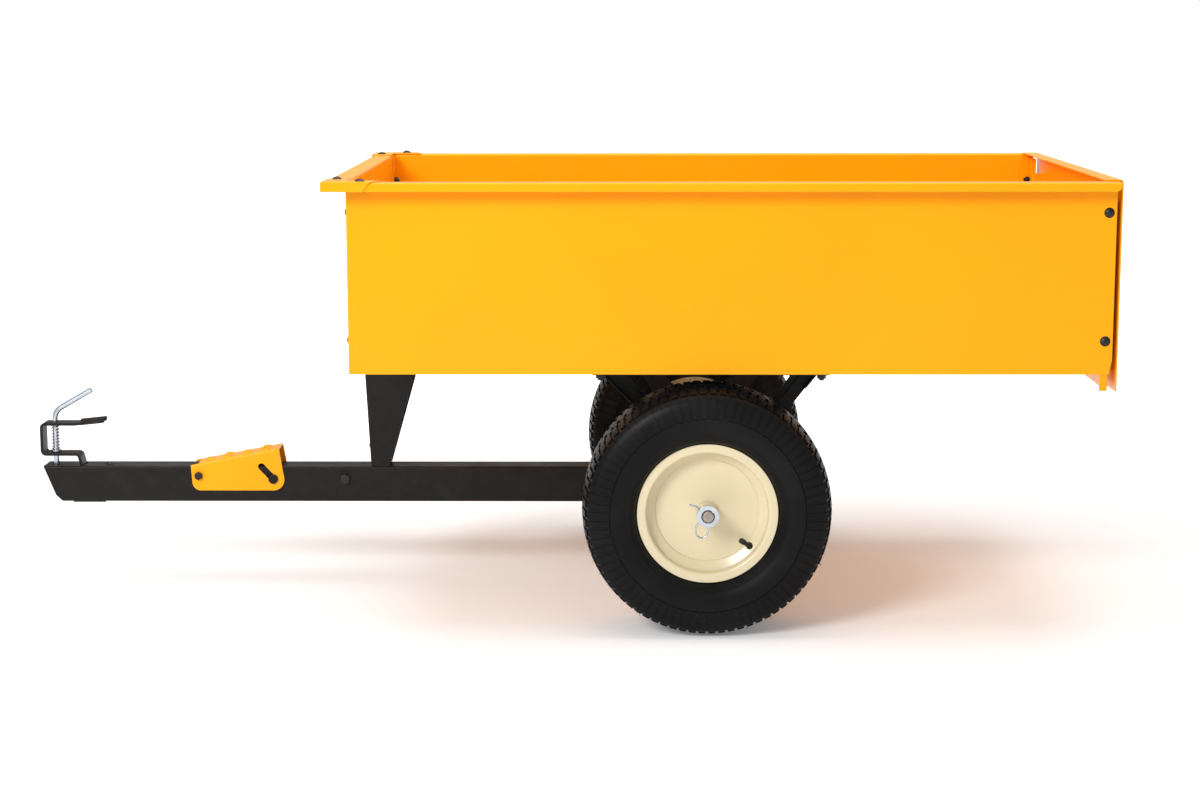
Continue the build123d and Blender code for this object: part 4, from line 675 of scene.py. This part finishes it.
def make_coil(name, radius, wire, turns, length):
    """A compression spring on Z with a closed turn at each end."""
    pitch_dead = wire * 1.02
    pitch = (length - wire - 2 * pitch_dead) / turns
    spans = ((0.0, pitch_dead, 1), (pitch_dead, pitch, turns), (pitch_dead + pitch * turns, pitch_dead, 1))
    parts = []
    for start, rise, count in spans:
        clear_selection()
        bpy.ops.mesh.primitive_circle_add(
            vertices=12, radius=wire / 2, location=(radius, 0, start + wire / 2),
            rotation=(math.pi / 2, 0, 0))
        part = settle(named(name))
        screw = part.modifiers.new("Screw", "SCREW")
        screw.screw_offset, screw.iterations, screw.steps, screw.render_steps = rise, count, 32, 32
        screw.use_merge_vertices = False
        bpy.ops.object.modifier_apply(modifier=screw.name)
        parts.append(part)
    return smooth(close_up(joined(parts, name)), 50)


class CART_OT_springs(bpy.types.Operator):
    """Winds the hitch spring and the latch spring"""

    bl_idname = "cart.springs"
    bl_label = "Springs"

    def execute(self, context):
        settings = context.scene.cart_springs
        low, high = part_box("hitch_spring")
        length, wire = high.z - low.z, settings.hitch_wire
        coil = make_coil("pin_coil", (high.x - low.x - wire) / 2, wire, settings.hitch_turns, length)
        coil.location = ((low.x + high.x) / 2, (low.y + high.y) / 2, low.z)
        settle(coil)
        dress(coil, "zinc", "tongue")
        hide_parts("hitch_spring")
        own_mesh(coil)
        low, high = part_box("latch_spring")
        length, wire = high.x - low.x, settings.latch_wire
        coil = make_coil("latch_coil", (high.y - low.y - wire) / 2, wire, settings.latch_turns, length)
        coil.location = (low.x, (low.y + high.y) / 2, (low.z + high.z) / 2)
        coil.rotation_euler = (0, math.pi / 2, 0)
        settle(coil)
        dress(coil, "zinc", "tongue")
        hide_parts("latch_spring")
        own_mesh(coil)
        return {"FINISHED"}


def bead_ring(name, centre, radius, size):
    """A rippled weld bead round the axle's direction."""
    clear_selection()
    bpy.ops.mesh.primitive_torus_add(
        major_radius=radius, minor_radius=size, major_segments=132, minor_segments=12)
    bead = named(name)
    select_in_mesh(bead, points=lambda p: round(math.atan2(p.y, p.x) / (2 * math.pi) * 132) % 3 == 0)
    bpy.ops.transform.shrink_fatten(value=-size * 0.22)
    bpy.ops.object.mode_set(mode="OBJECT")
    bead.rotation_euler = (math.pi / 2, 0, 0)
    bead.location = centre
    return smooth(settle(bead), 60)


def bead_run(name, start, end, size):
    """A rippled straight weld bead with rounded ends."""
    path = end - start
    count = max(6, round(path.length / 0.0022))
    outline = [(size * 0.15, -size * 0.6), (size * 0.7, -size * 0.35)]
    outline += [(size * (1.0 if i % 3 else 0.8), path.length * i / count) for i in range(count + 1)]
    outline += [(size * 0.7, path.length + size * 0.35), (size * 0.15, path.length + size * 0.6)]
    bead = turned(name, outline, 12)
    bead.location = start
    bead.rotation_euler = path.to_track_quat("Z", "Y").to_euler()
    return smooth(settle(bead), 60)


class CART_OT_welds(bpy.types.Operator):
    """Lays the weld beads on the pivot, the brackets, the hubs and the wear plate"""

    bl_idname = "cart.welds"
    bl_label = "Welds"

    def execute(self, context):
        axle = middle("axle")
        tongue_low, tongue_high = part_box("tongue_tube")
        sleeve = (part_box("pivot_sleeve")[1].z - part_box("pivot_sleeve")[0].z) / 2
        beads = {"tongue": [], "bed": [], "wheel_left": [], "wheel_right": []}
        for side, sign in SIDES:
            place = Vector((axle.x, sign * (tongue_high.y + 0.0012), axle.z))
            beads["tongue"].append(bead_ring("bead", place, sleeve + 0.001, 0.0024))
            hub = (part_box(f"hub_tube_{side}")[1].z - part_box(f"hub_tube_{side}")[0].z) / 2
            disc = HUB[side] + Vector((0, sign * 0.0415, 0))
            beads[f"wheel_{side}"].append(bead_ring("bead", disc, hub + 0.0008, 0.0018))
            for offset in (-0.0018, 0.0018):
                web = Vector((axle.x, sign * 0.262 + offset, axle.z))
                beads["bed"].append(bead_ring("bead", web, hub + 0.0008, 0.0018))
        low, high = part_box("wear_plate")
        for y in (low.y, high.y):
            start, end = Vector((low.x + 0.008, y, high.z)), Vector((high.x - 0.008, y, high.z))
            beads["tongue"].append(bead_run("bead", start, end, 0.0016))
        for side, sign in SIDES:
            low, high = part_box("pivot_gussets")
            start = Vector((low.x + 0.012, sign * tongue_high.y, low.z + 0.001))
            end = Vector((high.x - 0.004, sign * tongue_high.y, low.z + 0.001))
            beads["tongue"].append(bead_run("bead", start, end, 0.0018))
        for body, parts in beads.items():
            piece = joined(parts, f"weld_beads_{body}")
            paint = "cream_paint" if body.startswith("wheel") else "black_paint"
            dress(piece, paint, body)
        return {"FINISHED"}


class CART_OT_finishes(bpy.types.Operator):
    """Makes the finishes and puts them on every CAD piece"""

    bl_idname = "cart.finishes"
    bl_label = "Finishes"

    def execute(self, context):
        make_finishes(context.scene.cart_paint)
        slots = {part["node"]: part["material_slot"] for part in frame["record"]["subparts"]}
        for name, piece in frame["nodes"].items():
            piece.data.materials.clear()
            piece.data.materials.append(bpy.data.materials[slots[name]])
        return {"FINISHED"}


def add_light(name, place, aim, size, power, colour=(1, 1, 1)):
    """A large soft light pointed at a spot."""
    clear_selection()
    bpy.ops.object.light_add(type="AREA", location=place)
    light = named(name)
    light.rotation_euler = (Vector(aim) - Vector(place)).to_track_quat("-Z", "Y").to_euler()
    light.data.shape = "RECTANGLE"
    light.data.size, light.data.size_y = size
    light.data.energy = power
    light.data.color = colour
    light.visible_camera = False


class CART_OT_studio(bpy.types.Operator):
    """Sets the pale floor, the soft lights and the camera"""

    bl_idname = "cart.studio"
    bl_label = "Studio"

    def execute(self, context):
        settings = context.scene.cart_studio
        clear_selection()
        bpy.ops.mesh.primitive_plane_add(size=1, location=(0, 0, 0))
        floor = named("studio_floor")
        floor.scale = (40, 40, 1)
        settle(floor)
        tree, shader = new_material("studio_paper", Base_Color=(0.93, 0.925, 0.92, 1), Roughness=0.9,
                                    Emission_Color=(1, 1, 1, 1))
        place = node(tree, "ShaderNodeTexCoord", (-3, 0))
        split = node(tree, "ShaderNodeSeparateXYZ", (-2, 0))
        far = node(tree, "ShaderNodeMapRange", (0, -1), {"From Min": 1.1, "From Max": 2.3, "To Min": 0.14})
        chain(tree, (place.outputs["Object"], split.inputs[0]), (split.outputs["Y"], far.inputs["Value"]),
              (far.outputs[0], shader.inputs["Emission Strength"]))
        floor.data.materials.append(bpy.data.materials["studio_paper"])
        world = bpy.data.worlds.new("studio_room")
        context.scene.world = world
        world.use_nodes = True
        backing = world.node_tree.nodes["Background"]
        backing.inputs["Color"].default_value = (1, 1, 1, 1)
        seen = node(world.node_tree, "ShaderNodeLightPath", (-3, 0))
        strength = node(world.node_tree, "ShaderNodeMapRange", (-1, 0),
            {"To Min": settings.room, "To Max": 1.0})
        chain(world.node_tree, (seen.outputs["Is Camera Ray"], strength.inputs["Value"]),
              (strength.outputs[0], backing.inputs["Strength"]))
        add_light("key_light", (-2.1, -3.9, 2.7), (0.2, 0, 0.4), (1.5, 1.5), settings.key_power)
        add_light("top_light", (0.2, 0.2, 3.2), (0.2, 0, 0.4), (3.2, 2.0), settings.top_power)
        context.scene.view_settings.view_transform = "Standard"
        bpy.ops.object.camera_add(location=settings.camera_place, rotation=settings.camera_turn)
        camera = named("studio_camera")
        camera.data.sensor_width = 36
        camera.data.lens = settings.lens
        context.scene.camera = camera
        return {"FINISHED"}


class CART_PT_panel(bpy.types.Panel):
    """The cart's sizes, colours and building steps"""

    bl_idname = "CART_PT_panel"
    bl_label = "Dump Cart"
    bl_space_type = "VIEW_3D"
    bl_region_type = "UI"
    bl_category = "Dump Cart"

    def draw(self, context):
        for group, _ in SETTINGS:
            box = self.layout.box()
            values = getattr(context.scene, group)
            for key in values.__annotations__:
                box.prop(values, key)
        for step in STEPS:
            self.layout.operator(step.bl_idname)


SETTINGS = (
    ("cart_paint", CartPaintSettings),
    ("cart_tyres", CartTyreSettings),
    ("cart_springs", CartSpringSettings),
    ("cart_studio", CartStudioSettings),
)
STEPS = (CART_OT_finishes, CART_OT_tyres, CART_OT_valves, CART_OT_springs, CART_OT_welds, CART_OT_studio)


def register():
    for name, group in SETTINGS:
        bpy.utils.register_class(group)
        setattr(bpy.types.Scene, name, bpy.props.PointerProperty(type=group))
    for kind in (*STEPS, CART_PT_panel):
        bpy.utils.register_class(kind)


def unregister():
    for kind in reversed((*STEPS, CART_PT_panel)):
        bpy.utils.unregister_class(kind)
    for name, group in reversed(SETTINGS):
        delattr(bpy.types.Scene, name)
        bpy.utils.unregister_class(group)


def main():
    register()
    bpy.ops.cart.finishes()
    bpy.ops.cart.tyres()
    bpy.ops.cart.valves()
    bpy.ops.cart.springs()
    bpy.ops.cart.welds()
    bpy.ops.cart.studio()


if __name__ == "__main__":
    main()
